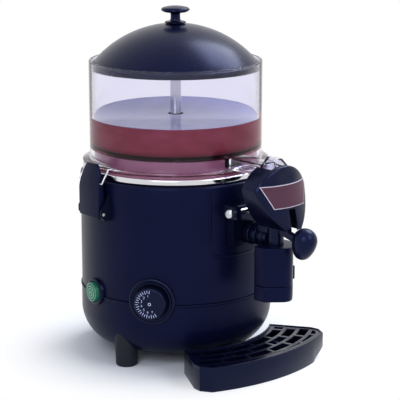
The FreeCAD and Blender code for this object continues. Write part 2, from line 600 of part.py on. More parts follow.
def make_spout():
    """V-nosed spout in two pieces, split by a line near its foot, and the tab at its side."""
    nose = [("-spout_half", "-(tap_axis - 13)"), ("-spout_half", "-(tap_axis + 6.5)"),
            ("0 - 7", "-(tap_axis + 24)"),
            ("0", "-(tap_axis + 26)"), ("7", "-(tap_axis + 24)"), ("spout_half", "-(tap_axis + 6.5)"),
            ("spout_half", "-(tap_axis - 13)")]
    upper = padded("spout_upper", "XY_Plane", [nose], "spout_split + 0.2", "spout_top - spout_split - 0.2",
                   False)
    lower = padded("spout_lower", "XY_Plane", [nose], "spout_bottom", "spout_split - spout_bottom", False)
    seat = cylinder("spout_seat", "column_radius + 0.1", "60",
                    upright("0", "-tap_axis", "column_bottom - 0.1"), False)
    duct = cylinder("spout_duct", "8", "60", upright("0", "-tap_axis", "spout_bottom - 5"), False)
    notch = box("arm_notch", ("0 - 12", "-(tap_axis - 5)", "arm_z - 12"),
                ("12", "-(tap_axis - 40)", "arm_z + 12"), False)
    tab = box("spout_tab", ("spout_half - 1", "-(tap_axis + 6)", "spout_split + 0.4"),
              ("spout_half + 4", "-(tap_axis - 4)", "spout_split + 18"), False)
    upper = joined("spout_with_tab", [upper, tab], False)
    cut("spout_block", upper, joined("spout_tools", [seat, duct, notch], False))
    outlet = cylinder("spout_outlet", "7", "60", upright("0", "-tap_axis", "spout_bottom - 5"), False)
    cut("spout_base", lower, outlet)


# Controls
def make_controls():
    """Thermostat with its bezel and dial, lit switch, safety cut-out, terminals and cable gland."""
    dial_place = on_wall("dial_azimuth", "dial_z")
    bezel = turned("dial_bezel", [
        ("bezel_radius", "0 - 9"), ("bezel_radius", "2.2"), ("bezel_radius - 1.2", "3.4"),
        ("bezel_radius - 3.4", "3.4"), ("bezel_radius - 4.6", "2"), ("dial_radius + 1", "2"),
        ("dial_radius + 1", "0 - 1.5"), ("3.8", "0 - 1.5"), ("3.8", "0 - 9")])
    dial = turned("dial_knob", [
        ("0", "0 - 1.2"), ("dial_radius - 0.3", "0 - 1.2"), ("dial_radius", "0.5"),
        ("dial_radius - 0.6", "13"), ("dial_radius - 2.4", "14.6"), ("0", "14.6")])
    stat = turned("thermostat_body", disc_loop("16", "0 - 34", "0 - 9.2"))
    spindle = turned("dial_spindle", disc_loop("3", "0 - 9.1", "0 - 1.3"))
    for piece in (bezel, dial, stat, spindle):
        piece.Placement = dial_place
    housing = turned("switch_bezel", [
        ("0", "0 - 22"), ("switch_bezel", "0 - 22"), ("switch_bezel", "3"), ("switch_bezel - 1.5", "4.4"),
        ("button_radius + 0.4", "4.4"), ("button_radius + 0.4", "0 - 10"), ("0", "0 - 10")])
    button = turned("switch_button", [
        ("0", "0 - 5.5"), ("button_radius", "0 - 5.5"), ("button_radius", "8"),
        ("button_radius - 1.8", "9.6"), ("0", "10.6")])
    for piece in (housing, button):
        piece.Placement = on_wall("switch_azimuth", "switch_z")
    gland = turned("cable_gland", [
        ("4", "0 - 10"), ("8", "0 - 10"), ("8", "0.6"), ("10.5", "0.6"), ("10.5", "5"), ("8", "14"),
        ("4", "14")])
    gland.Placement = on_wall("gland_azimuth", "gland_z")
    box("safety_cutout", ("30", "24", "bath_floor - 4.6"), ("52", "40", "bath_floor - 0.3"))
    box("terminal_block", ("0 - 30", "60", "base_bottom + 2.7"), ("30", "78", "base_bottom + 24"))


# Latches
def make_latch(side, sign):
    """One side latch: bracket on the wall, pivot pin, and the shield cover with its steel bail."""
    turn = around("%s latch_azimuth" % sign)
    cheek = [("-(body_radius - 3)", "latch_bottom - 2"), ("-(latch_pin_r - 2)", "latch_bottom - 1"),
             ("-(latch_pin_r + 3.5)", "latch_pin_z - 3"), ("-(latch_pin_r + 3.5)", "latch_pin_z + 5"),
             ("-(body_radius - 3)", "latch_pin_z + 26")]
    cheeks = [padded("latch_cheek_%s_%d" % (side, i), "YZ_Plane", [cheek], start, "3.5", False)
              for i, start in enumerate(("-(latch_half + 4)", "latch_half + 0.5"))]
    wall = cylinder("latch_wall_" + side, "body_radius + 0.1", "120", upright("0", "0", "160"), False)
    hole = cylinder("latch_hole_" + side, "2.05", "80", across("0 - 40", "-latch_pin_r", "latch_pin_z"),
                    False)
    solid = joined("latch_cheeks_" + side, cheeks, False)
    bracket = cut("latch_bracket_" + side, solid, joined("latch_tools_" + side, [wall, hole], False))
    bracket.Placement = turn
    pin = cylinder("latch_pin_" + side, "2", "2 * latch_half + 10",
                   across("-(latch_half + 5)", "-latch_pin_r", "latch_pin_z"))
    pin.Placement = turn * pin.Placement
    shield = padded("latch_shield_" + side, "XZ_Plane", [[
        ("-(latch_half - 5)", "latch_bottom"), ("latch_half - 5", "latch_bottom", "5"),
        ("latch_half", "latch_bottom + 5"), ("latch_half", "latch_bottom + 42", "60"),
        ("latch_half - 12", "latch_top"), ("-(latch_half - 12)", "latch_top", "60"),
        ("-latch_half", "latch_bottom + 42"), ("-latch_half", "latch_bottom + 5", "5")]],
        "body_radius - 10", "30", False)
    side_cut = padded("latch_profile_" + side, "YZ_Plane", [[
        ("-(latch_pin_r)", "latch_pin_z - 7.6"), ("-(latch_pin_r + 4.4)", "latch_pin_z - 6"),
        ("-(latch_pin_r + 4.4)", "latch_pin_z + 30"), ("-(latch_pin_r - 1.5)", "latch_top + 6"),
        ("-(latch_pin_r - 4.7)", "latch_top + 6"), ("-(body_radius + 5.5)", "latch_pin_z + 30"),
        ("-(body_radius + 3.2)", "latch_pin_z + 6"), ("-(body_radius + 3.2)", "latch_pin_z - 2"),
        ("-(latch_pin_r - 5)", "latch_pin_z - 6")]],
        "0 - 40", "80", False)
    cover = common("latch_plate_" + side, shield, side_cut, False)
    bore = cylinder("latch_bore_" + side, "2.05", "80", across("0 - 40", "-latch_pin_r", "latch_pin_z"),
                    False)
    cover = cut("latch_cover_" + side, cover, bore)
    cover.Placement = turn
    radius = size("flange_radius - 4")
    foot = size("latch_pin_z + 40")
    bar = size("flange_z + 5.2")
    half = size("latch_half + 3")
    out = size("latch_pin_r + 0.5")
    rim = size("flange_radius + 3.5")
    route = [(half - 3.6, out, foot), (half, out, foot), (half, rim, bar), (half, radius, bar)]
    path = Part.makePolygon([Vector(-x, -r, z) for x, r, z in route] + [Vector(x, -r, z) for x, r,
                                                                        z in route[::-1]])
    section = Part.Wire(Part.makeCircle(1.4, Vector(-half + 3.6, -out, foot), X_AXIS))
    feature("latch_bail_" + side, path.makePipeShell([section], True, True, 2), turn)


# Drip tray
def tray_outline(inset):
    """Outline of the tray in plan: an arc behind, short sides and a wide shallow front."""
    corner = "(80 - 0.275 * (%s))" % inset
    rear = "(tray_rear + %s)" % inset
    back = "-sqrt(%s * %s - %s * %s)" % (rear, rear, corner, corner)
    return [(corner, back, "0 - " + rear), ("-" + corner, back),
            ("-(110.5 - (%s))" % inset, "-(150 + 0.3 * (%s))" % inset), ("-(112 - (%s))" % inset, "0 - 162"),
            ("-(104 - 0.7 * (%s))" % inset, "-(176.5 - 0.8 * (%s))" % inset,
             "tray_front_curve - (%s)" % inset),
            ("104 - 0.7 * (%s)" % inset, "-(176.5 - 0.8 * (%s))" % inset), ("112 - (%s)" % inset, "0 - 162"),
            ("110.5 - (%s)" % inset, "-(150 + 0.3 * (%s))" % inset)]


def make_tray():
    """Hollow tray whose right end rises off the table, and its lift-out grate of staggered slots."""
    solid = padded("tray_solid", "XY_Plane", [tray_outline("0")], "0", "tray_height", False)
    rise = padded("tray_rise", "XZ_Plane", [[("76", "0 - 1"), ("126", "0 - 1"), ("126", "20"),
                                             ("76", "3")]], "60", "160", False)
    hollow = padded("tray_hollow", "XY_Plane", [tray_outline("tray_wall")], "tray_wall", "tray_height", False)
    keep = padded("tray_ramp", "XZ_Plane", [[("75", "0 - 1"), ("127", "0 - 1"), ("127", "23.4"),
                                             ("75", "5.8")]], "60", "160", False)
    cavity = cut("tray_cavity", hollow, keep, False)
    pan = cut("tray_pan", cut("tray_shape", solid, rise, False), cavity, False)
    posts = [cylinder("tray_post_%d" % i, "4", "grate_bottom - tray_wall", upright(x, y, "tray_wall - 0.1"),
                      False)
             for i, (x, y) in enumerate((("0 - 40", "0 - 150"), ("40", "0 - 150"), ("0", "0 - 182")))]
    joined("drip_tray", [pan] + posts)


def slot_sector(inner, outer, start, end):
    """Face of one curved slot between two radii and two azimuths from the front."""
    def at(radius, azimuth):
        turn = math.radians(azimuth)
        return Vector(radius * math.sin(turn), -radius * math.cos(turn), 0)
    middle = (start + end) / 2.0
    edges = [Part.Arc(at(inner, start), at(inner, middle), at(inner, end)).toShape(),
             Part.LineSegment(at(inner, end), at(outer, end)).toShape(),
             Part.Arc(at(outer, end), at(outer, middle), at(outer, start)).toShape(),
             Part.LineSegment(at(outer, start), at(inner, start)).toShape()]
    return Part.Face(Part.Wire(edges))


def make_grate():
    """Grate plate with rows of curved slots laid like bricks, and its short rim."""
    plate = padded("grate_plate", "XY_Plane", [tray_outline("tray_wall + 0.5")], "grate_bottom",
                   "grate_top - grate_bottom", False)
    limit = padded("grate_limit", "XY_Plane", [tray_outline("tray_wall + 6")], "grate_bottom - 1", "10",
                   False)
    rows, pitch, bar = 4, 17.5, 5.0
    slots = []
    for row in range(rows + 1):
        inner = size("tray_rear") + 8.5 + row * pitch
        step = 360.0 * 38.0 / (2 * math.pi * (inner + pitch / 2))
        gap = 360.0 * bar / (2 * math.pi * (inner + pitch / 2))
        shift = (row % 2) * step / 2
        for k in range(-4, 5):
            start = k * step + shift
            if abs(start + step / 2) > 48:
                continue
            face = slot_sector(inner, inner + pitch - bar, start + gap / 2, start + step - gap / 2)
            slots.append(face.extrude(Vector(0, 0, 10)))
    holes = feature("grate_slots", Part.makeCompound(slots), upright("0", "0", "grate_bottom - 3"), False)
    cut("tray_grate", plate, common("grate_openings", holes, limit, False))


def check_and_export():
    """Stops at a failed object or a bad shape, then writes one file per sub-part."""
    doc.recompute()
    for obj in doc.Objects:
        if "Invalid" in obj.State or "Error" in obj.State:
            raise RuntimeError("%s: %s" % (obj.Label, obj.State))
    os.makedirs(OUT, exist_ok=True)
    for old in os.listdir(OUT):
        os.remove(os.path.join(OUT, old))
    for label, obj in parts.items():
        shape = obj.Shape
        if shape.isNull() or not shape.isValid():
            raise RuntimeError("bad shape: " + label)
        shape.exportStep(os.path.join(OUT, label + ".step"))
    print("sub-parts:", len(parts))


def main():
    """Builds every sub-part in order and exports them."""
    holes = control_holes()
    make_base_shell(holes)
    make_body_shell(holes)
    make_bottom()
    make_bath()
    make_bowl()
    make_lid()
    make_drive()
    make_agitator()
    make_tap_body()
    make_valve()
    make_lever()
    make_tap_cover()
    make_spout()
    make_controls()
    make_latch("left", "0 -")
    make_latch("right", "0 +")
    make_tray()
    make_grate()
    check_and_export()


main()
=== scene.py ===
"""Looks of a countertop hot chocolate dispenser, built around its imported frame.

Sizes in the fields and outlines are millimetres; the meshes are in metres, in the frame's axes.
The front is towards -Y, and Z is up.
"""
import json
import logging
import math
from dataclasses import dataclass, field
from enum import Enum
from typing import Any, Sequence

import bmesh
import bpy
from mathutils import Matrix, Vector

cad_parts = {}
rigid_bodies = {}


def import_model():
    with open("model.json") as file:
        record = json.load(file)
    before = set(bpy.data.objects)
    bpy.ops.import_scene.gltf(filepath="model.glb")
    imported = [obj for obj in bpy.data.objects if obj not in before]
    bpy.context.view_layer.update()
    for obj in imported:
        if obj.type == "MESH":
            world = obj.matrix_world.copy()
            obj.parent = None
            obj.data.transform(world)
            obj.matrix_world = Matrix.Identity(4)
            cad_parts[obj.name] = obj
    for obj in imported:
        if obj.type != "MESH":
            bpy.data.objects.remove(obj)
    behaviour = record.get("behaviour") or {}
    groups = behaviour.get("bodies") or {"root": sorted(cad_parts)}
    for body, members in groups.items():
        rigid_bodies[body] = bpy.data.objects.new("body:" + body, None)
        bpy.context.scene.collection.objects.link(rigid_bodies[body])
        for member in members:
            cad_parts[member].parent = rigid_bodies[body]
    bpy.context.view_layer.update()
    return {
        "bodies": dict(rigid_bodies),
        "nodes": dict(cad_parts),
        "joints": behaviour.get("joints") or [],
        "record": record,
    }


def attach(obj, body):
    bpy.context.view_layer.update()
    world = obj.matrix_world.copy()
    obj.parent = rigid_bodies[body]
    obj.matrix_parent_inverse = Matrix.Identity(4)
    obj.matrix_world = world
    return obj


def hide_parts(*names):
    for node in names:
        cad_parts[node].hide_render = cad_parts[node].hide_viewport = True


MM = 0.001
BODY_RADIUS = 128.0
TAP_AXIS = 185.0
CREASE = 32.0
EDGE_TURN = 35.0
NEARLY_STRAIGHT = 165.0
SIDE_SHARE = 0.45
CORNER_STEPS = 4
SHELL_STEPS = 192
UPRIGHT = Matrix(((1, 0, 0, 0), (0, 0, -1, 0), (0, 1, 0, 0), (0, 0, 0, 1)))
Colour = tuple[float, float, float]
Point2 = tuple[float, float]
Stretch = tuple[float, float, float]
EVEN: Stretch = (1.0, 1.0, 1.0)
WHITE: Colour = (1.0, 1.0, 1.0)
log = logging.getLogger("dispenser")


# Shader maths
class Value:
    """Number that comes out of a shader node and takes part in Python expressions."""

    def __init__(self, tree: "Tree", socket: bpy.types.NodeSocket) -> None:
        """Keeps the tree and the socket that the number comes from."""
        self.tree = tree
        self.socket = socket

    def join(self, operation: str, first: Any, second: Any) -> "Value":
        """Adds one Math node.

        Args:
            operation: The node's operation.
            first: First operand, a Value or a number.
            second: Second operand, a Value or a number.

        Returns:
            The node's result.
        """
        node = self.tree.add("ShaderNodeMath", {"operation": operation}, {0: first, 1: second})
        return Value(self.tree, node.outputs[0])

    def __add__(self, other: Any) -> "Value":
        """Sum."""
        return self.join("ADD", self, other)

    def __radd__(self, other: Any) -> "Value":
        """Sum with a number on the left."""
        return self.join("ADD", other, self)

    def __sub__(self, other: Any) -> "Value":
        """Difference."""
        return self.join("SUBTRACT", self, other)

    def __rsub__(self, other: Any) -> "Value":
        """Difference from a number."""
        return self.join("SUBTRACT", other, self)

    def __mul__(self, other: Any) -> "Value":
        """Product."""
        return self.join("MULTIPLY", self, other)

    def __rmul__(self, other: Any) -> "Value":
        """Product with a number on the left."""
        return self.join("MULTIPLY", other, self)

    def power(self, exponent: float) -> "Value":
        """This number to a power."""
        return self.join("POWER", self, exponent)

    def at_least(self, low: float) -> "Value":
        """This number, or a low limit where it is below it."""
        return self.join("MAXIMUM", self, low)

    def folded(self, size: float) -> "Value":
        """This number, folded so that it runs up and down between zero and a size."""
        return self.join("PINGPONG", self, size)

    def ramp(self, low: float, high: float) -> "Value":
        """Straight ramp from 0 at low to 1 at high, held between them."""
        inputs = {0: self, 1: low, 2: high, 3: 0.0, 4: 1.0}
        return Value(self.tree, self.tree.add("ShaderNodeMapRange", {"clamp": True}, inputs).outputs[0])


class Tree:
    """Nodes of a material or a world, and the calls that add to them."""

    def __init__(self, owner: bpy.types.Material | bpy.types.World) -> None:
        """Turns on the owner's nodes.

        Args:
            owner: The material, which starts with a Principled shader, or the world.
        """
        owner.use_nodes = True
        self.owner = owner
        self.tree = owner.node_tree
        self.shader = self.first("BSDF_PRINCIPLED")

    def first(self, kind: str) -> bpy.types.Node | None:
        """First node of a type, or None."""
        return next((node for node in self.tree.nodes if node.type == kind), None)

    def add(self, kind: str, settings: dict[str, Any], inputs: dict[Any, Any]) -> bpy.types.Node:
        """Adds a node.

        Args:
            kind: Blender's name of the node type.
            settings: Properties of the node, set first.
            inputs: Values or links by socket index or name.

        Returns:
            The new node.
        """
        node = self.tree.nodes.new(kind)
        for key, setting in settings.items():
            setattr(node, key, setting)
        for key, entry in inputs.items():
            self.feed(node.inputs[key], entry)
        return node

    def feed(self, socket: bpy.types.NodeSocket, entry: Any) -> None:
        """Links or sets one socket.

        Args:
            socket: The input socket.
            entry: A Value, an output socket, a number, a vector or a colour of three numbers.
        """
        if isinstance(entry, Value):
            entry = entry.socket
        if isinstance(entry, bpy.types.NodeSocket):
            self.tree.links.new(entry, socket)
        elif socket.type == "RGBA":
            socket.default_value = (*entry, 1.0)
        else:
            socket.default_value = entry

    def dress(self, **inputs: Any) -> None:
        """Sets or feeds sockets of the shader, named with underscores for spaces."""
        for key, entry in inputs.items():
            self.feed(self.shader.inputs[key.replace("_", " ")], entry)

    def vector(self, operation: str, *parts: Any) -> bpy.types.Node:
        """Adds a Vector Math node, whose parts are vectors or links."""
        return self.add("ShaderNodeVectorMath", {"operation": operation}, dict(enumerate(parts)))

    def place(self, stretch: Stretch = EVEN) -> bpy.types.NodeSocket:
        """Object coordinates, in metres.

        Args:
            stretch: Factor along each axis.

        Returns:
            The output socket.
        """
        source = self.add("ShaderNodeTexCoord", {}, {}).outputs["Object"]
        if stretch == EVEN:
            return source
        return self.vector("MULTIPLY", source, stretch).outputs["Vector"]

    def noise(self, scale: float, detail: float = 2.0, stretch: Stretch = EVEN) -> Value:
        """Noise between 0 and 1 in object space.

        Args:
            scale: A larger number makes a finer pattern.
            detail: How many finer layers it has.
            stretch: Factor on the coordinates along each axis.

        Returns:
            The noise.
        """
        inputs = {"Vector": self.place(stretch), "Scale": scale, "Detail": detail}
        return Value(self, self.add("ShaderNodeTexNoise", {}, inputs).outputs["Fac"])

    def upward(self) -> Value:
        """How far the surface faces up, from -1 to 1."""
        normal = self.add("ShaderNodeNewGeometry", {}, {}).outputs["Normal"]
        return Value(self, self.add("ShaderNodeSeparateXYZ", {}, {0: normal}).outputs[2])

    def blend(self, mask: Any, first: Any, second: Any) -> bpy.types.NodeSocket:
        """Colour that goes from first to second as the mask goes from 0 to 1."""
        return self.add("ShaderNodeMix", {"data_type": "RGBA"}, {0: mask, 6: first, 7: second}).outputs[2]

    def bump(self, height: Value, depth: float) -> bpy.types.NodeSocket:
        """Normal that stands for a height between 0 and 1 times a depth in metres."""
        return self.add("ShaderNodeBump", {}, {"Height": height, "Distance": depth}).outputs[0]


# Finishes
def shade(colour: Colour, share: float) -> Colour:
    """A colour darkened to a share of itself."""
    return tuple(share * part for part in colour)


@dataclass(frozen=True)
class Finish:
    """Named finish, whose kinds say what their nodes are."""

    name: str

    def make(self) -> bpy.types.Material:
        """Builds the material."""
        tree = Tree(bpy.data.materials.new(self.name))
        self.coat(tree)
        return tree.owner

    def coat(self, tree: Tree) -> None:
        """Adds the finish's nodes to its material."""
        raise NotImplementedError


@dataclass(frozen=True)
class MouldedPlastic(Finish):
    """Dark moulded plastic with a fine grain, uneven gloss and a trace of dust on top."""

    colour: Colour = (0.0022, 0.0030, 0.018)
    worn: Colour = (0.005, 0.0065, 0.028)
    roughness: float = 0.34
    grain_depth: float = 0.00003
    gloss_level: float = 0.16
    sheen_colour: Colour = (0.36, 0.46, 1.0)
    cloud_scale: float = 16.0
    smear_scale: float = 60.0
    dust_scale: float = 220.0
    grain_scale: float = 1400.0

    def coat(self, tree: Tree) -> None:
        """Adds clouds of wear, upright smears, dust on top and the grain of the mould."""
        cloud = tree.noise(self.cloud_scale, 4.0)
        grain = tree.noise(self.grain_scale)
        smear = tree.noise(self.smear_scale, 3.0, (1.0, 1.0, 0.3))
        dust = tree.upward().ramp(0.3, 1.0) * tree.noise(self.dust_scale, 5.0).ramp(0.5, 0.85)
        wear = cloud.ramp(0.35, 0.75) * 0.5 + dust * 0.15
        tree.dress(Base_Color=tree.blend(wear, self.colour, self.worn),
                   Roughness=cloud * 0.10 + smear * 0.08 + (self.roughness - 0.09) + dust * 0.05,
                   Specular_IOR_Level=self.gloss_level, Specular_Tint=self.sheen_colour,
                   Normal=tree.bump(grain, self.grain_depth))


@dataclass(frozen=True)
class ClearPlastic(Finish):
    """Clear moulded plastic with a faint cool tint and hairline wipe marks."""

    colour: Colour = (0.89, 0.88, 0.96)
    cloudy: Colour = (0.84, 0.83, 0.94)
    roughness: float = 0.02
    bending: float = 1.3
    gloss_level: float = 0.4
    wipe_scale: float = 500.0
    cloud_scale: float = 25.0

    def coat(self, tree: Tree) -> None:
        """Lets light through, and adds clouds and wipe marks."""
        wipes = tree.noise(self.wipe_scale, 3.0, (1.0, 1.0, 0.04)).ramp(0.55, 0.9)
        cloud = tree.noise(self.cloud_scale, 3.0)
        tree.dress(Base_Color=tree.blend(cloud * 0.5, self.colour, self.cloudy),
                   Roughness=wipes * 0.05 + cloud * 0.02 + self.roughness,
                   Transmission_Weight=1.0, IOR=self.bending, Specular_IOR_Level=self.gloss_level)


@dataclass(frozen=True)
class BrightMetal(Finish):
    """Bare metal with fine turning or drawing marks, or with the even skin of a casting."""

    colour: Colour = (0.72, 0.72, 0.75)
    roughness: float = 0.14
    stretch: Stretch = (4.0, 4.0, 900.0)
    mark_depth: float = 0.000015
    mark_scale: float = 2.0
    cloud_scale: float = 30.0

    def coat(self, tree: Tree) -> None:
        """Adds the marks, and clouds in the colour."""
        marks = tree.noise(self.mark_scale, 4.0, self.stretch)
        cloud = tree.noise(self.cloud_scale, 3.0)
        tree.dress(Base_Color=tree.blend(cloud, self.colour, shade(self.colour, 0.86)),
                   Metallic=1.0, Roughness=marks * 0.10 + cloud * 0.05 + (self.roughness - 0.07),
                   Normal=tree.bump(marks, self.mark_depth))


@dataclass(frozen=True)
class SoftRubber(Finish):
    """Matt black rubber with a fine mould texture."""

    colour: Colour = (0.004, 0.005, 0.012)
    scuffed: Colour = (0.012, 0.014, 0.024)
    roughness: float = 0.6
    gloss_level: float = 0.3
    grain_depth: float = 0.00005
    grain_scale: float = 1800.0
    scuff_scale: float = 90.0

    def coat(self, tree: Tree) -> None:
        """Adds pale scuffs and the grain of the mould."""
        grain = tree.noise(self.grain_scale, 3.0)
        scuff = tree.noise(self.scuff_scale, 4.0).ramp(0.5, 0.8)
        tree.dress(Base_Color=tree.blend(scuff * 0.5, self.colour, self.scuffed),
                   Roughness=scuff * 0.1 + self.roughness, Normal=tree.bump(grain, self.grain_depth),
                   Specular_IOR_Level=self.gloss_level)


@dataclass(frozen=True)
class LitLens(Finish):
    """Green lens, lit from behind, brighter where its moulded rings gather the light."""

    azimuth: float
    height: float
    wall: float
    pitch: float = 3.3
    dark: Colour = (0.004, 0.085, 0.048)
    bright: Colour = (0.36, 0.70, 0.50)
    fade_start: float = 9.0
    fade_end: float = 13.0
    fleck_scale: float = 500.0
    glow_strength: float = 0.35
    roughness: float = 0.22
    gloss_level: float = 0.3

    def coat(self, tree: Tree) -> None:
        """Adds rings about the lens's own axis, dimmer towards its edge."""
        turn = math.radians(self.azimuth)
        out = Vector((math.sin(turn), -math.cos(turn), 0.0))
        centre = out * (self.wall * MM) + Vector((0.0, 0.0, self.height * MM))
        away = tree.vector("SUBTRACT", tree.place(), tuple(centre)).outputs["Vector"]
        depth = Value(tree, tree.vector("DOT_PRODUCT", away, tuple(out)).outputs["Value"])
        length = Value(tree, tree.vector("LENGTH", away).outputs["Value"])
        radius = (length * length - depth * depth).at_least(0.0).power(0.5) * (1.0 / MM)
        rings = (radius * (1.0 / self.pitch)).folded(0.5)
        glow = (rings * 2.0).ramp(0.6, 0.98) * (0.5 + tree.noise(self.fleck_scale) * 0.6)
        core = 1.0 - radius.ramp(self.fade_start, self.fade_end) * 0.8
        colour = tree.blend(glow * core, self.dark, self.bright)
        tree.dress(Base_Color=colour, Emission_Color=colour, Emission_Strength=self.glow_strength,
                   Roughness=self.roughness, Specular_IOR_Level=self.gloss_level)


@dataclass(frozen=True)
class SatinPlate(Finish):
    """Bare plate with a satin film and faint level bands."""

    colour: Colour = (0.066, 0.020, 0.038)
    band: Colour = (0.094, 0.031, 0.056)
    roughness: float = 0.28
    gloss_level: float = 0.25
    fleck_depth: float = 0.00001
    fleck_scale: float = 900.0
    band_scale: float = 20.0

    def coat(self, tree: Tree) -> None:
        """Adds the bands and fine flecks."""
        fleck = tree.noise(self.fleck_scale, 3.0)
        wash = tree.noise(self.band_scale, 2.0, (1.0, 1.0, 3.0)).ramp(0.3, 0.75)
        tree.dress(Base_Color=tree.blend(wash * 0.6 + fleck * 0.2, self.colour, self.band),
                   Roughness=fleck * 0.1 + self.roughness, Normal=tree.bump(fleck, self.fleck_depth),
                   Specular_IOR_Level=self.gloss_level)


@dataclass(frozen=True)
class MattColour(Finish):
    """One matt colour with faded flecks, for ink, insulating plastic and silicone."""

    colour: Colour = (0.62, 0.68, 0.95)
    roughness: float = 0.4
    fade_scale: float = 700.0

    def coat(self, tree: Tree) -> None:
        """Adds the flecks."""
        fade = tree.noise(self.fade_scale, 3.0).ramp(0.35, 0.75)
        tree.dress(Base_Color=tree.blend(fade * 0.4, self.colour, shade(self.colour, 0.7)),
                   Roughness=fade * 0.1 + self.roughness)


@dataclass(frozen=True)
class Chocolate(Finish):
    """Drinking chocolate, streaked by the stirrer, with fine bubbles that dull its gloss."""

    colour: Colour
    streak: Colour
    roughness: float
    gloss_level: float
    swirl_depth: float = 0.00004
    swirl_scale: float = 34.0
    bubble_scale: float = 1100.0

    def coat(self, tree: Tree) -> None:
        """Adds the streaks and bubbles."""
        swirl = tree.noise(self.swirl_scale, 4.0, (1.0, 1.0, 2.5))
        bubbles = tree.noise(self.bubble_scale).ramp(0.62, 0.8)
        tree.dress(Base_Color=tree.blend(swirl.ramp(0.35, 0.7), self.colour, self.streak),
                   Roughness=swirl * 0.12 + bubbles * 0.2 + self.roughness,
                   Normal=tree.bump(swirl, self.swirl_depth), Specular_IOR_Level=self.gloss_level)


# Mesh tools
def arc(start: Point2, end: Point2, radius: float, count: int) -> list[Point2]:
    """Points of an arc, its start included and its end left out.

    Args:
        start: First point.
        end: Last point.
        radius: Radius; a positive one turns left and a negative one turns right.
        count: Number of steps.

    Returns:
        The points in order.
    """
    a, b = Vector(start), Vector(end)
    chord = b - a
    half = chord.length / 2
    side = Vector((-chord.y, chord.x)).normalized() * math.sqrt(max(radius * radius - half * half, 0.0))
    centre = (a + b) / 2 + (side if radius > 0 else -side)
    first = math.atan2(a.y - centre.y, a.x - centre.x)
    sweep = 2 * math.asin(min(half / abs(radius), 1.0)) * (1 if radius > 0 else -1)
    return [(centre.x + abs(radius) * math.cos(first + sweep * i / count),
             centre.y + abs(radius) * math.sin(first + sweep * i / count)) for i in range(count)]


def traced(points: Sequence[tuple[float, ...]], count: int) -> list[Point2]:
    """Closed outline whose points may carry the radius of the arc to the next point.

    Args:
        points: (x, y) or (x, y, radius).
        count: Steps in each arc.

    Returns:
        The outline as plain points.
    """
    result: list[Point2] = []
    for point, following in zip(points, [*points[1:], points[0]]):
        if len(point) == 3:
            result += arc(point[:2], following[:2], point[2], count)
        else:
            result.append(point)
    return result


def eased(points: Sequence[Point2], radius: float, closed: bool = True) -> list[Point2]:
    """Outline with its corners rounded.

    Args:
        points: Corners in order.
        radius: Radius of a right-angled corner.
        closed: Whether the ends join; if not, they stay sharp.

    Returns:
        The rounded outline.
    """
    result: list[Point2] = []
    last = len(points) - 1
    for i, point in enumerate(points):
        here = Vector(point)
        back = Vector(points[i - 1]) - here
        ahead = Vector(points[(i + 1) % len(points)]) - here
        if (not closed and i in (0, last)) or back.angle(ahead) > math.radians(NEARLY_STRAIGHT):
            result.append(point)
            continue
        reach = min(radius, SIDE_SHARE * back.length, SIDE_SHARE * ahead.length)
        p, q = here + back.normalized() * reach, here + ahead.normalized() * reach
        for k in range(CORNER_STEPS + 1):
            t = k / CORNER_STEPS
            spot = p * (1 - t) ** 2 + here * 2 * t * (1 - t) + q * t * t
            result.append((spot.x, spot.y))
    return result


def oblong(half: float, low: float, high: float) -> list[Point2]:
    """Corners of a rectangle that is centred across."""
    return [(-half, low), (half, low), (half, high), (-half, high)]


def on_wall(azimuth: float, height: float, radius: float) -> Matrix:
    """Placement whose Z points out of the machine's round wall and whose Y points up.

    Args:
        azimuth: Degrees from the front, positive to the right as one faces the machine.
        height: Height of the placement's origin.
        radius: Distance of its origin from the machine's axis.

    Returns:
        The placement, in metres.
    """
    turn = math.radians(azimuth)
    out = Vector((math.sin(turn), -math.cos(turn), 0.0))
    along = Vector((math.cos(turn), math.sin(turn), 0.0))
    place = Matrix((along, Vector((0, 0, 1)), out)).transposed().to_4x4()
    place.translation = out * (radius * MM) + Vector((0, 0, height * MM))
    return place


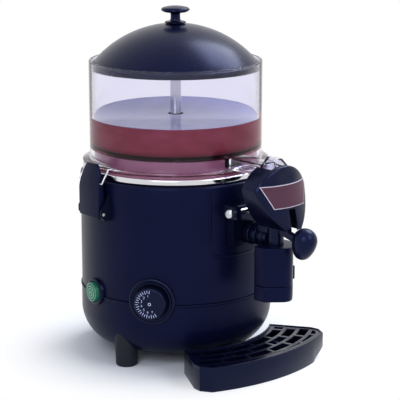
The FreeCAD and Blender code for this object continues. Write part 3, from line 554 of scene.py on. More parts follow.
class Maker:
    """Turns outlines into mesh objects."""

    @staticmethod
    def smooth(mesh: bpy.types.Mesh, angle: float = CREASE) -> None:
        """Shades a mesh smooth, and keeps the creases above an angle in degrees sharp."""
        mesh.polygons.foreach_set("use_smooth", [True] * len(mesh.polygons))
        mesh.set_sharp_from_angle(angle=math.radians(angle))

    @classmethod
    def settle(cls, bm: bmesh.types.BMesh, name: str, place: Matrix | None = None, angle: float = CREASE,
               scale: float = MM) -> bpy.types.Object:
        """Writes a bmesh to a new object at the origin.

        Args:
            bm: The mesh, which is freed.
            name: The piece's name.
            place: Placement of the piece, in metres.
            angle: Creases above this angle in degrees stay sharp.
            scale: Metres per unit of the mesh.

        Returns:
            The object.
        """
        bmesh.ops.scale(bm, vec=(scale, scale, scale), verts=bm.verts)
        if place is not None:
            bmesh.ops.transform(bm, matrix=place, verts=bm.verts)
        bmesh.ops.recalc_face_normals(bm, faces=bm.faces)
        mesh = bpy.data.meshes.new(name)
        bm.to_mesh(mesh)
        bm.free()
        cls.smooth(mesh, angle)
        piece = bpy.data.objects.new(name, mesh)
        bpy.context.scene.collection.objects.link(piece)
        return piece

    @staticmethod
    def bridge(bm: bmesh.types.BMesh, low: Sequence[bmesh.types.BMVert],
               high: Sequence[bmesh.types.BMVert]) -> None:
        """Joins two closed rings of as many vertices by faces of four sides.

        Args:
            bm: The mesh.
            low: The first ring.
            high: The second ring.
        """
        for i in range(len(low)):
            j = (i + 1) % len(low)
            bm.faces.new((low[i], low[j], high[j], high[i]))

    @classmethod
    def prism(cls, bm: bmesh.types.BMesh, base: Sequence[Vector], top: Sequence[Vector]) -> None:
        """Adds a closed solid between two rings of as many points.

        Args:
            bm: The mesh.
            base: Points of the lower face.
            top: Points of the upper face.
        """
        low = [bm.verts.new(point) for point in base]
        high = [bm.verts.new(point) for point in top]
        bm.faces.new(low)
        bm.faces.new(high)
        cls.bridge(bm, low, high)

    @classmethod
    def lathe(cls, name: str, outline: Sequence[Point2], place: Matrix | None = None, steps: int = 128,
              angle: float = CREASE) -> bpy.types.Object:
        """Turns an outline of (radius, height) about Z.

        Args:
            name: The piece's name.
            outline: Points; an outline off the axis is closed on itself.
            place: Placement of the piece.
            steps: Steps about the axis.
            angle: Creases above this angle stay sharp.

        Returns:
            The object.
        """
        bm = bmesh.new()
        rings: list[list[bmesh.types.BMVert]] = []
        for radius, height in outline:
            count = 1 if radius < 1e-6 else steps
            rings.append([bm.verts.new((radius * math.cos(2 * math.pi * i / steps),
                                        radius * math.sin(2 * math.pi * i / steps), height))
                          for i in range(count)])
        pairs = list(zip(rings, rings[1:]))
        if len(rings[0]) > 1 and len(rings[-1]) > 1:
            pairs.append((rings[-1], rings[0]))
        for low, high in pairs:
            for i in range(steps):
                j = (i + 1) % steps
                corners = [low[i % len(low)], low[j % len(low)], high[j % len(high)], high[i % len(high)]]
                unique = list(dict.fromkeys(corners))
                if len(unique) > 2:
                    bm.faces.new(unique)
        return cls.settle(bm, name, place, angle)

    @classmethod
    def plug(cls, name: str, radius: float, low: float, high: float, place: Matrix) -> bpy.types.Object:
        """Round tool with flat ends, from one height to another."""
        return cls.lathe(name, [(0.0, low), (radius, low), (radius, high), (0.0, high)], place, 48)

    @classmethod
    def loft(cls, name: str, rings: Sequence[Sequence[Vector]]) -> bpy.types.Object:
        """Skins rings of as many points each, and fills the first and the last.

        Args:
            name: The piece's name.
            rings: Rings of points in millimetres.

        Returns:
            The object.
        """
        bm = bmesh.new()
        loops = [[bm.verts.new(point) for point in ring] for ring in rings]
        for low, high in zip(loops, loops[1:]):
            cls.bridge(bm, low, high)
        bm.faces.new(loops[0])
        bm.faces.new(loops[-1])
        return cls.settle(bm, name)

    @classmethod
    def slab(cls, name: str, outline: Sequence[Point2], low: float, high: float, edge: float = 0.8,
             place: Matrix | None = None) -> bpy.types.Object:
        """Extrudes an outline along Z and rounds its edges.

        Args:
            name: The piece's name.
            outline: Closed outline in X and Y.
            low: Start along Z.
            high: End along Z.
            edge: Width of the rounded edges.
            place: Placement of the piece.

        Returns:
            The object.
        """
        bm = bmesh.new()
        cls.prism(bm, [Vector((x, y, low)) for x, y in outline], [Vector((x, y, high)) for x, y in outline])
        cls.soften(bm, edge)
        return cls.settle(bm, name, place)

    @staticmethod
    def soften(bm: bmesh.types.BMesh, edge: float) -> None:
        """Rounds the sharp edges of a mesh.

        Args:
            bm: The mesh.
            edge: Width of the rounded edges; at 0 they stay sharp.
        """
        bmesh.ops.recalc_face_normals(bm, faces=bm.faces)
        if edge <= 0:
            return
        turn = math.radians(EDGE_TURN)
        sharp = [e for e in bm.edges if len(e.link_faces) == 2 and e.calc_face_angle(0) > turn]
        bmesh.ops.bevel(bm, geom=sharp, offset=edge, offset_type="OFFSET", segments=3, profile=0.5,
                        affect="EDGES", clamp_overlap=True)

    @classmethod
    def softened_copy(cls, name: str, node: bpy.types.Object, edge: float) -> bpy.types.Object:
        """Copies a node's mesh to a new piece and rounds its edges.

        Args:
            name: The piece's name.
            node: The node's object, which is left as it is.
            edge: Width of the rounded edges.

        Returns:
            The new object.
        """
        bm = bmesh.new()
        bm.from_mesh(node.data)
        bmesh.ops.remove_doubles(bm, verts=bm.verts, dist=1e-6)
        bmesh.ops.dissolve_limit(bm, angle_limit=math.radians(1.0), verts=bm.verts, edges=bm.edges)
        cls.soften(bm, edge * MM)
        return cls.settle(bm, name, scale=1.0)

    @classmethod
    def tube(cls, name: str, points: Sequence[Vector], radius: float) -> bpy.types.Object:
        """Round rod with closed ends along straight runs.

        Args:
            name: The piece's name.
            points: Points in millimetres.
            radius: Radius of the rod.

        Returns:
            The object.
        """
        curve = bpy.data.curves.new(name + "_line", "CURVE")
        curve.dimensions = "3D"
        curve.bevel_depth = radius * MM
        curve.bevel_resolution = 5
        curve.use_fill_caps = True
        spline = curve.splines.new("POLY")
        spline.points.add(len(points) - 1)
        for spot, point in zip(spline.points, points):
            spot.co = (*(point * MM), 1.0)
        line = bpy.data.objects.new(name + "_line", curve)
        bm = bmesh.new()
        bm.from_mesh(bpy.data.meshes.new_from_object(line))
        bpy.data.objects.remove(line)
        bmesh.ops.remove_doubles(bm, verts=bm.verts, dist=1e-7)
        return cls.settle(bm, name, angle=40.0, scale=1.0)

    @classmethod
    def carve(cls, piece: bpy.types.Object, *tools: bpy.types.Object) -> None:
        """Cuts tools out of a piece and removes the tools.

        Args:
            piece: The piece, which keeps its name.
            tools: Closed pieces in the shape of what is cut away.
        """
        for tool in tools:
            step = piece.modifiers.new("cut", "BOOLEAN")
            step.operation = "DIFFERENCE"
            step.solver = "EXACT"
            step.object = tool
        bpy.context.view_layer.update()
        shaped = piece.evaluated_get(bpy.context.evaluated_depsgraph_get())
        mesh = bpy.data.meshes.new_from_object(shaped)
        piece.modifiers.clear()
        piece.data = mesh
        cls.smooth(mesh)
        for tool in tools:
            bpy.data.objects.remove(tool)


# Palette
class Look(Enum):
    """Finish of a piece."""

    BODY = "body plastic"
    DOME = "dome plastic"
    BLACK = "black plastic"
    GLOSS = "gloss black plastic"
    CLEAR = "clear plastic"
    RING = "bath steel"
    DRAWN = "drawn steel"
    RUBBER = "rubber"
    LENS = "lit lens"
    PLATE = "satin plate"
    INK = "dial ink"
    BORDER = "plate border"
    DRINK = "drinking chocolate"
    # Chocolate's surface: its pale colour is a painted reflection of the studio.
    FROTH = "froth"
    BRASS = "turned brass"
    ALLOY = "cast alloy"
    PALE = "pale insulating plastic"
    MILKY = "milky silicone"


@dataclass
class Palette:
    """Every finish of the machine, made once."""

    looks: dict[Look, bpy.types.Material] = field(default_factory=dict)

    def __post_init__(self) -> None:
        """Builds the materials."""
        finishes = {
            Look.BODY: MouldedPlastic("navy_plastic"),
            Look.DOME: MouldedPlastic("dome_plastic", roughness=0.26, grain_depth=0.000008, gloss_level=0.24),
            Look.BLACK: MouldedPlastic("black_plastic", (0.002, 0.0024, 0.009), (0.005, 0.006, 0.018), 0.42),
            Look.GLOSS: MouldedPlastic("gloss_black_plastic", (0.002, 0.0026, 0.011), (0.005, 0.006, 0.02),
                                       roughness=0.22, grain_depth=0.00001, gloss_level=0.3),
            Look.CLEAR: ClearPlastic("clear_plastic"),
            Look.RING: BrightMetal("bath_steel"),
            Look.DRAWN: BrightMetal("drawn_steel", (0.60, 0.61, 0.66), 0.18, (700.0, 700.0, 6.0)),
            Look.RUBBER: SoftRubber("rubber_black"),
            Look.LENS: LitLens("green_lens", Controls.switch_azimuth, Controls.switch_height, BODY_RADIUS),
            Look.PLATE: SatinPlate("plum_plate"),
            Look.INK: MattColour("dial_ink"),
            Look.BORDER: MattColour("plate_border_ink", (0.66, 0.58, 0.66)),
            Look.DRINK: Chocolate("chocolate", (0.190, 0.020, 0.045), (0.250, 0.036, 0.075), 0.42, 0.1),
            # The surface's pale lavender colour and its paler streaks are a painted reflection of the bright
            # studio, not the chocolate's own colour.
            Look.FROTH: Chocolate("chocolate_froth", (0.50, 0.53, 0.95), (0.58, 0.60, 0.97), 0.10, 0.9),
            Look.BRASS: BrightMetal("turned_brass", (0.70, 0.52, 0.22), 0.25),
            Look.ALLOY: BrightMetal("cast_alloy", (0.52, 0.53, 0.55), 0.42, (300.0, 300.0, 300.0)),
            Look.PALE: MattColour("pale_plastic", (0.62, 0.61, 0.58)),
            Look.MILKY: MattColour("milky_silicone", (0.32, 0.10, 0.18)),
        }
        for look, finish in finishes.items():
            self.looks[look] = finish.make()

    def __getitem__(self, look: Look) -> bpy.types.Material:
        """The material of a finish."""
        return self.looks[look]


# Sub-assemblies
@dataclass
class SubAssembly:
    """What every sub-assembly shares: the frame, the palette and the way a piece is handed over."""

    frame: dict[str, Any]
    palette: Palette

    def hand_over(self, piece: bpy.types.Object, look: Look, body: str, slot: str,
                  stands_for: Sequence[str] = ()) -> None:
        """Finishes a piece, attaches it to its body and hides the nodes that it stands for.

        Args:
            piece: The piece.
            look: Its finish.
            body: The body that it rides on.
            slot: Its material slot in the record; not used.
            stands_for: The nodes that it replaces.
        """
        piece.data.materials.clear()
        piece.data.materials.append(self.palette[look])
        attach(piece, body)
        if stands_for:
            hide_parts(*stands_for)
        log.info("%s, %s, rides on %s", piece.name, look.value, body)

    def dress_nodes(self, look: Look, *nodes: str) -> None:
        """Gives nodes that the render keeps a finish.

        Args:
            look: The finish.
            nodes: The nodes' names.
        """
        for node in nodes:
            for slot in self.frame["nodes"][node].material_slots:
                slot.material = self.palette[look]
            log.info("%s, %s, is kept", node, look.value)

    def rounded_node(self, node: str, look: Look, body: str, slot: str, edge: float = 0.9) -> None:
        """Replaces a node by a copy of itself with rounded edges."""
        copy = Maker.softened_copy(node + "_soft", self.frame["nodes"][node], edge)
        self.hand_over(copy, look, body, slot, [node])


@dataclass
class Housing(SubAssembly):
    """Body and base shells, feet, bottom plate and the raised surround of the tap."""

    radius: float = BODY_RADIUS
    wall: float = 3.0
    seam: float = 93.0
    top: float = 248.0
    roll: float = 4.0
    base_bottom: float = 22.0
    base_proud: float = 0.6
    plate_hole: float = 104.0
    curve_start: float = 59.0
    curve_outside: float = 52.0
    curve_inside: float = 49.0
    surround_half: float = 50.5
    surround_low: float = 153.5
    surround_corner: float = 16.0
    bead_radius: float = 2.0
    bead_sink: float = 0.4
    bead_step: float = 6.0
    feet: int = 6

    def build(self) -> None:
        """Builds and dresses every piece."""
        self.body()
        self.base()
        self.surround()
        self.dress_nodes(Look.RUBBER, *("foot_%d" % (i + 1) for i in range(self.feet)), "cable_gland")
        self.dress_nodes(Look.BLACK, "bottom_plate")

    def body(self) -> None:
        """Straight upper shell with a rolled top edge."""
        r, inner, top, roll = self.radius, self.radius - self.wall, self.top, self.roll
        outline = [(inner, self.seam + 0.4), (r - 0.5, self.seam), (r, self.seam + 0.6)]
        outline += arc((r, top - roll), (r - roll, top), roll, 8)
        outline += [(r - roll, top), (r - 13, top), (r - 13, top - 2.5), (inner, top - 2.5)]
        shell = Maker.lathe("body_shell_skin", outline, steps=SHELL_STEPS)
        self.hand_over(shell, Look.BODY, "housing", "navy_plastic", ["body_shell"])

    def base(self) -> None:
        """Lower shell that curves in to the bottom plate, with the lip at the seam."""
        r, low, seam = self.radius + self.base_proud, self.base_bottom, self.seam
        outline = [(self.plate_hole, low)]
        outline += arc((110.0, low + 1), (r, self.curve_start), self.curve_outside, 20)
        outline += [(r, self.curve_start), (r, seam - 3.8), (r + 0.4, seam - 3.2), (r + 1.0, seam - 2.6),
                    (r + 1.0, seam - 0.8), (r + 0.6, seam - 0.3), (r - 3.6, seam - 0.3)]
        outline += arc((r - 3.6, self.curve_start), (108.0, low + 4), -self.curve_inside, 16)
        outline += [(108.0, low + 4), (self.plate_hole, low + 3)]
        shell = Maker.lathe("base_shell_skin", outline, steps=SHELL_STEPS)
        self.hand_over(shell, Look.BODY, "housing", "navy_plastic", ["base_shell"])

    def surround(self) -> None:
        """Raised bead on the wall about the tap, open at the top."""
        half, low, corner, high = self.surround_half, self.surround_low, self.surround_corner, self.top - 6
        line = [(-half, high)]
        line += arc((-half, low + corner), (-half + corner, low), corner, 10)
        line += arc((half - corner, low), (half, low + corner), corner, 10)
        line += [(half, low + corner), (half, high)]
        points = self.follow_wall([self.on_skin(x, z) for x, z in line])
        bead = Maker.tube("tap_surround_bead", points, self.bead_radius)
        self.hand_over(bead, Look.BODY, "housing", "navy_plastic")

    def on_skin(self, x: float, z: float) -> Vector:
        """Point just inside the front of the round wall, at a place in the front view."""
        return Vector((x, -math.sqrt((self.radius - self.bead_sink) ** 2 - x * x), z))

    def follow_wall(self, points: Sequence[Vector]) -> list[Vector]:
        """Splits long runs so that they follow the round wall.

        Args:
            points: Corners of the line.

        Returns:
            The line's points.
        """
        result: list[Vector] = []
        for a, b in zip(points, points[1:]):
            cuts = max(1, int((b - a).length / self.bead_step))
            for i in range(cuts):
                spot = a.lerp(b, i / cuts)
                result.append(self.on_skin(spot.x, spot.z))
        return result + [points[-1]]


@dataclass
class Bowl(SubAssembly):
    """Water bath ring, clear bowl, outlet hood and the chocolate inside."""

    radius: float = 115.0
    wall: float = 3.0
    floor: float = 283.0
    rim: float = 394.0
    ledge: float = 383.0
    flange: float = 260.0
    flange_radius: float = 124.5
    sleeve_inside: float = 7.3
    sleeve_outside: float = 10.3
    bath_radius: float = 112.0
    bath_floor: float = 170.0
    bath_sheet: float = 1.5
    bath_hole: float = 7.1
    roll_radius: float = 125.0
    roll_low: float = 248.9
    roll_high: float = 257.5
    liquid: float = 319.0
    liquid_hole: float = 10.5
    channel_start: float = 115.6
    cap_front: float = TAP_AXIS + 7.2
    cap_rear: float = TAP_AXIS - 14.0

    def build(self) -> None:
        """Builds and dresses every piece."""
        self.bath()
        self.vessel()
        self.hood()
        self.drink()
        self.dress_nodes(Look.MILKY, "bath_gasket")
        self.dress_nodes(Look.DRAWN, "shaft_tube", "heater_element")

    def bath(self) -> None:
        """Steel water bath with its bright rolled rim."""
        r, low, roll, high = self.bath_radius, self.bath_floor, self.roll_radius, self.roll_high
        outline = [(self.bath_hole, low), (r, low), (r, self.roll_low)]
        outline += arc((roll - 3, self.roll_low), (roll, self.roll_low + 3), 3.0, 8)
        outline += arc((roll, high - 2.5), (roll - 2.5, high), 2.5, 8)
        outline += [(roll - 2.5, high), (r - self.bath_sheet, high),
                    (r - self.bath_sheet, low + self.bath_sheet), (self.bath_hole, low + self.bath_sheet)]
        bath = Maker.lathe("water_bath_pan", outline, steps=SHELL_STEPS)
        self.hand_over(bath, Look.RING, "housing", "polished_steel", ["water_bath"])

    def vessel(self) -> None:
        """Clear bowl with its flange, floor and the ledge under the lid."""
        r, inner, f, low = self.radius, self.radius - self.wall, self.flange, self.floor
        outline = [(self.sleeve_inside, low - 3), (inner - 5, low - 3), (inner - 2.6, low - 5.5),
                   (inner - 2.6, f + 2), (inner - 0.6, f)]
        outline += eased([(inner - 0.6, f), (self.flange_radius, f), (self.flange_radius, f + 3.2),
                          (r + 3, f + 4.0), (r, f + 7), (r, f + 12)], 1.2, False)[1:]
        outline += arc((r, self.rim - 1), (r - 1, self.rim), 1.0, 4)
        outline += [(r - 1, self.rim), (inner + 0.5, self.rim), (inner, self.rim - 0.5), (inner, self.ledge),
                    (inner - 1.6, self.ledge - 0.2)]
        outline += arc((inner - 1.6, low + 9), (inner - 10.6, low), -9.0, 8)
        outline += [(inner - 10.6, low), (self.sleeve_outside, low), (self.sleeve_outside, low + 8),
                    (self.sleeve_inside, low + 8)]
        bowl = Maker.lathe("clear_bowl", outline, steps=SHELL_STEPS)
        self.hand_over(bowl, Look.CLEAR, "housing", "clear_plastic", ["bowl"])

    def gable(self, half: float, low: float, eave: float, ridge_half: float, ridge: float) -> list[Point2]:
        """Outline of the cap from the front, its heights counted from the flange."""
        z = self.flange
        return [(-half, z + low), (half, z + low), (half, z + eave), (ridge_half, z + ridge),
                (-ridge_half, z + ridge), (-half, z + eave)]

    def hood(self) -> None:
        """Clear low channel from the bowl, and the gabled cap that it ends in over the tap."""
        z, near, rear, front = self.flange, self.channel_start, self.cap_rear, self.cap_front
        outer = eased(self.gable(17.0, 4.0, 15.0, 3.0, 28.4), 2.0)
        inner = eased(self.gable(14.6, 6.4, 13.9, 2.0, 26.0), 1.0)
        cap = Maker.slab("outlet_cap", outer, rear, front, 1.0, UPRIGHT)
        Maker.carve(cap, Maker.slab("cap_room", inner, rear + 2.6, front - 2.4, 0.4, UPRIGHT))
        self.hand_over(cap, Look.CLEAR, "housing", "clear_plastic", ["bowl"])
        channel = Maker.slab("outlet_channel", eased(oblong(15.0, z + 4, z + 20), 2.5), near, rear - 0.3, 0.8,
                             UPRIGHT)
        Maker.carve(channel, Maker.slab("channel_room", eased(oblong(12.4, z + 6.6, z + 17.6), 1.5),
                                        near + 2.0, rear - 2.6, 0.4, UPRIGHT))
        self.hand_over(channel, Look.CLEAR, "housing", "clear_plastic", ["bowl"])

    def drink(self) -> None:
        """Chocolate that wets the bowl up to its level, and its surface with the meniscus, pale with a
        painted reflection.
        """
        side, low, level = self.radius - self.wall - 1.35, self.floor - 0.3, self.liquid
        outline = [(self.liquid_hole, low)]
        outline += arc((side - 9, low), (side, low + 9), 9.0, 8)
        outline += [(side, low + 9), (side, level + 0.7), (side - 0.6, level + 0.3),
                    (side - 2.2, level - 0.6), (self.liquid_hole, level - 0.6)]
        body = Maker.lathe("chocolate_fill", outline, steps=SHELL_STEPS)
        self.hand_over(body, Look.DRINK, "housing", "navy_plastic")
        skin = [(self.liquid_hole, level - 0.5), (side - 2.2, level - 0.5), (side - 0.7, level + 0.4),
                (side - 0.1, level + 1.2), (side - 0.9, level + 1.0), (side - 2.4, level + 0.1),
                (self.liquid_hole, level + 0.1)]
        # Surface of the chocolate, coloured pale by a painted reflection of the studio.
        surface = Maker.lathe("chocolate_surface", skin, steps=SHELL_STEPS)
        self.hand_over(surface, Look.FROTH, "housing", "navy_plastic")


@dataclass
class Lid(SubAssembly):
    """Dome, washer and turned knob."""

    sphere: float = 144.5
    top: float = 442.0
    sheet: float = 2.2
    edge_radius: float = 111.6
    edge: float = 389.4
    skirt: float = 383.2
    knob_top: float = 465.0

    def build(self) -> None:
        """Builds and dresses every piece."""
        self.dome()
        self.washer()
        self.knob()
        self.dress_nodes(Look.BLACK, "lid_screw")

    def dome(self) -> None:
        """Domed skin with a rounded edge and a short skirt."""
        top, r, inner = self.top, self.edge_radius, self.edge_radius - self.sheet
        outline = arc((0.0, top), (inner, self.edge + 1.5), -self.sphere, 48)
        outline += arc((inner, self.edge + 1.5), (r, self.edge - 1.2), -2.4, 6)
        outline += [(r, self.edge - 1.2), (r, self.skirt + 0.5), (r - 0.6, self.skirt), (inner, self.skirt)]
        under = arc((0.0, top - 2.5), (inner, self.edge - 1.4), -(self.sphere - self.sheet), 32)
        outline += under[:0:-1] + [(0.0, top - 2.5)]
        dome = Maker.lathe("dome_skin", outline, steps=SHELL_STEPS)
        self.hand_over(dome, Look.DOME, "lid", "navy_plastic", ["lid_dome"])

    def washer(self) -> None:
        """Dished washer under the knob."""
        low, high = self.top + 0.2, self.top + 3.0
        ring = eased([(3.2, low), (13.6, low), (14.4, self.top + 1.6), (12.0, high), (3.2, high)], 1.0)
        washer = Maker.lathe("knob_washer", ring, steps=64)
        self.hand_over(washer, Look.GLOSS, "lid", "black_plastic", ["lid_washer"])

    def knob(self) -> None:
        """Mushroom knob on its waisted stem."""
        top, peak = self.top, self.knob_top
        outline = [(0.0, top + 3.1)] + arc((7.6, top + 3.1), (6.4, top + 7.0), -9.0, 6)
        outline += arc((6.4, peak - 11.5), (9.0, peak - 8.9), -2.8, 6)
        outline += arc((14.0, peak - 8.4), (19.0, peak - 5.6), 9.0, 6)
        outline += arc((19.0, peak - 5.6), (15.5, peak - 2.0), 4.2, 6)
        outline += arc((15.5, peak - 2.0), (0.0, peak), 62.0, 10) + [(0.0, peak)]
        knob = Maker.lathe("mushroom_knob", outline, steps=96)
        self.hand_over(knob, Look.DOME, "lid", "navy_plastic", ["lid_knob"])


@dataclass
class Drive(SubAssembly):
    """Stirrer and the hidden drive and heating parts, all kept as the frame has them."""

    def build(self) -> None:
        """Dresses the nodes."""
        self.dress_nodes(Look.DRAWN, "drive_shaft", "agitator_stem")
        self.dress_nodes(Look.BLACK, "agitator_cap", "agitator_paddle", "motor_body")
        self.dress_nodes(Look.BRASS, "shaft_bush", "dial_spindle")
        self.dress_nodes(Look.ALLOY, "gearbox", "motor_bracket", "motor_screws")
        self.dress_nodes(Look.PALE, "thermostat_body", "safety_cutout", "terminal_block")


@dataclass
class Tap(SubAssembly):
    """Arm, cover with its bare plate, lever, egg knob and spout."""

    axis: float = TAP_AXIS
    pivot_y: float = 171.0
    pivot_z: float = 203.0
    rest: float = 15.8
    reach: float = 65.5
    half: float = 45.0
    shoulder: float = 252.0
    crown: float = 50.2
    flank: float = 95.0
    bow: float = 78.0
    lean: float = 14.04
    face_depth: float = 229.75
    face_height: float = 150.0
    cover_rear: float = 168.5
    cover_wall: float = 2.8
    dent_half: float = 19.0
    dent_rise: float = 7.0
    dent_height: float = 266.0
    dent_depth: float = 2.2
    plate_low: float = 229.5
    plate_high: float = 258.0
    plate_half: float = 27.0
    plate_flare: float = 13.0
    arm_height: float = 184.0
    arm_radius: float = 11.3
    pin_y: float = 146.0
    pin_z: float = 216.0
    pin_half: float = 48.0

    def build(self) -> None:
        """Builds and dresses every piece."""
        self.cover()
        self.plate()
        self.egg()
        self.spout()
        self.arm_collars()
        self.pin()
        self.dress_nodes(Look.GLOSS, "tap_body", "tap_mount", "lever_arm")
        self.dress_nodes(Look.DRAWN, "lever_pin", "valve_spring")
        self.dress_nodes(Look.PALE, "valve_plunger")
        self.dress_nodes(Look.RUBBER, "column_seal", "plunger_seal")

    def face(self, x: float, z: float) -> float:
        """Distance of the cover's face in front of the machine's axis.

        Args:
            x: Place across, in the front view.
            z: Height.

        Returns:
            The distance.
        """
        lean = math.radians(self.lean)
        width = math.sqrt(max(self.bow ** 2 - x * x, 0.0)) / math.cos(lean)
        return self.face_depth - self.bow - math.tan(lean) * (z - self.face_height) + width

    def dent(self, x: float, z: float) -> float:
        """Depth of the thumb dent at a place in the front view."""
        inside = 1.0 - (x / self.dent_half) ** 2 - ((z - self.dent_height) / self.dent_rise) ** 2
        return self.dent_depth * max(0.0, inside) ** 1.5

    def outline(self, inset: float, base: float) -> list[Point2]:
        """Outline of the cover in the front view.

        Args:
            inset: How far it is drawn in.
            base: Height of its lower end.

        Returns:
            The outline.
        """
        half, foot, waist = self.half - inset, 13.0 - 0.6 * inset, 200.0 + inset
        return traced([(foot, base), (foot, waist, self.flank), (half, self.shoulder, self.crown - inset),
                       (-half, self.shoulder, self.flank), (-foot, waist), (-foot, base)], 20)

    def face_ring(self, outline: Sequence[Point2], middle: float, share: float, behind: float,
                  dented: bool = False) -> list[Vector]:
        """Ring of points that follows the cover's face.

        Args:
            outline: Outline in the front view.
            middle: Height that the outline shrinks towards.
            share: Share of the way from there to the outline.
            behind: Depth behind the face.
            dented: Whether the thumb dent is pressed in.

        Returns:
            The points.
        """
        centre = Vector((0.0, middle))
        ring = []
        for corner in outline:
            spot = centre.lerp(Vector(corner), share)
            dent = self.dent(spot.x, spot.y) if dented else 0.0
            ring.append(Vector((spot.x, dent + behind - self.face(spot.x, spot.y), spot.y)))
        return ring

    def cover(self) -> None:
        """Bowed cover: a domed face with a thumb dent, rounded into a skirt that runs back."""
        rim, inner = self.outline(0.0, 199.4), self.outline(2.5, 201.4)
        rings = [self.face_ring(rim, 240.0, share, 0.0, True)
                 for share in (0.06, 0.15, 0.3, 0.45, 0.6, 0.72, 0.82, 0.9, 0.955)]
        rings += [self.face_ring(rim, 240.0, share, drop)
                  for share, drop in ((0.98, 0.5), (0.993, 1.3), (1.0, 2.6))]
        rings += [[Vector((x, -self.cover_rear, z)) for x, z in line] for line in (rim, inner)]
        rings += [self.face_ring(inner, 238.0, share, self.cover_wall) for share in (1.0, 0.8, 0.5, 0.2)]
        shell = Maker.loft("cover_shell_skin", rings)
        slot = Maker.slab("slot_tool", eased(oblong(5.8, 185.0, 227.0), 1.5), 140.0, 240.0, 0.0, UPRIGHT)
        gap = Maker.slab("gap_tool", oblong(17.7, -193.6, -150.0), 255.0, 300.0, 0.0)
        foot = Maker.slab("foot_tool", oblong(10.6, -216.0, -150.0), 180.0, 205.0, 0.0)
        Maker.carve(shell, slot, gap, foot)
        self.hand_over(shell, Look.GLOSS, "housing", "navy_plastic", ["tap_cover"])

    def plate_skin(self, name: str, inset: float, low: float, high: float) -> bpy.types.Object:
        """Plate that follows the cover's face.

        Args:
            name: The piece's name.
            inset: How far its edge lies inside the plate's outline.
            low: Height of its back above the face.
            high: Height of its front above the face.

        Returns:
            The object.
        """
        across, rise, start = 24, 8, self.plate_low + inset
        bm = bmesh.new()
        rims = []
        for height in (low, high):
            rows = []
            for j in range(rise + 1):
                z = start + (self.plate_high - inset - start) * j / rise
                share = (z - self.plate_low) / (self.plate_high - self.plate_low)
                half = self.plate_half + self.plate_flare * share - inset
                places = [half * (2 * i / across - 1) for i in range(across + 1)]
                rows.append([bm.verts.new((x, -self.face(x, z) - height, z)) for x in places])
            for a, b in zip(rows, rows[1:]):
                for i in range(across):
                    bm.faces.new((a[i], a[i + 1], b[i + 1], b[i]))
            rims.append(rows[0] + [row[-1] for row in rows[1:]] + rows[-1][-2::-1]
                        + [row[0] for row in rows[-2:0:-1]])
        Maker.bridge(bm, rims[0], rims[1])
        return Maker.settle(bm, name)

    def plate(self) -> None:
        """Bare plum plate with a pale border."""
        for name, look, inset, low, high in (("plate_border", Look.BORDER, 0.0, 0.1, 0.75),
                                             ("plate_field", Look.PLATE, 0.9, 0.3, 1.0)):
            skin = self.plate_skin(name, inset, low, high)
            self.hand_over(skin, look, "housing", "label_plate", ["label_plate"])

    def egg(self) -> None:
        """Egg-shaped knob on the end of the lever."""
        outline = arc((0.0, -21.0), (15.8, -4.0), 16.2, 14)
        outline += arc((15.8, -4.0), (10.2, 15.0), 36.0, 12)
        outline += arc((10.2, 15.0), (0.0, 20.9), 11.9, 10) + [(0.0, 20.9)]
        place = Matrix.Translation((0, -self.pivot_y * MM, self.pivot_z * MM))
        place @= Matrix.Rotation(math.radians(self.rest), 4, "X")
        place @= Matrix.Translation((0, -self.reach * MM, 0)) @ Matrix.Rotation(math.pi, 4, "X")
        egg = Maker.lathe("egg_knob", outline, place, 72, 60.0)
        self.hand_over(egg, Look.DOME, "lever", "navy_plastic", ["lever_knob"])

    def spout(self) -> None:
        """V-nosed spout in two pieces with a joint line and a tab."""
        a = self.axis
        nose = eased([(-27.0, 13 - a), (-27.0, -(a + 6.5)), (-7.0, -(a + 24)), (0.0, -(a + 26)),
                      (7.0, -(a + 24)), (27.0, -(a + 6.5)), (27.0, 13 - a)], 4.0)
        at_axis = Matrix.Translation((0, -a * MM, 0))
        upper = Maker.slab("spout_block_skin", nose, 125.3, 176.0, 1.2)
        seat = Maker.plug("seat_tool", 10.9, 149.9, 190.0, at_axis)
        duct = Maker.plug("duct_tool", 8.0, 90.0, 155.0, at_axis)
        notch = Maker.slab("notch_tool", oblong(12.0, 5 - a, -140.0), 172.0, 196.0, 0.0)
        Maker.carve(upper, seat, duct, notch)
        self.hand_over(upper, Look.BODY, "housing", "navy_plastic", ["spout_block"])
        lower = Maker.slab("spout_base_skin", nose, 105.0, 125.0, 1.6)
        Maker.carve(lower, Maker.plug("outlet_tool", 7.0, 90.0, 140.0, at_axis))
        self.hand_over(lower, Look.BODY, "housing", "navy_plastic", ["spout_base"])
        flap = eased([(26.6, -(a + 6)), (31.0, -(a + 6)), (31.0, 4 - a), (26.6, 4 - a)], 1.0)
        tab = Maker.slab("spout_tab_skin", flap, 125.6, 143.0, 0.6)
        self.hand_over(tab, Look.BLACK, "housing", "navy_plastic", ["spout_block"])

    def arm_collars(self) -> None:
        """Collars turned on the arm between the wall and the column."""
        for name, start, length, radius in (("arm_collar_wall", 140.5, 9.0, 15.0),
                                            ("arm_collar_mid", 151.0, 9.5, 13.8),
                                            ("arm_collar_end", 163.0, 8.0, 12.6)):
            inner = self.arm_radius
            ring = eased([(inner, 0.0), (radius, 0.0), (radius, length), (inner, length)], 1.0)
            collar = Maker.lathe(name, ring, on_wall(0.0, self.arm_height, start), 96)
            self.hand_over(collar, Look.GLOSS, "housing", "black_plastic")

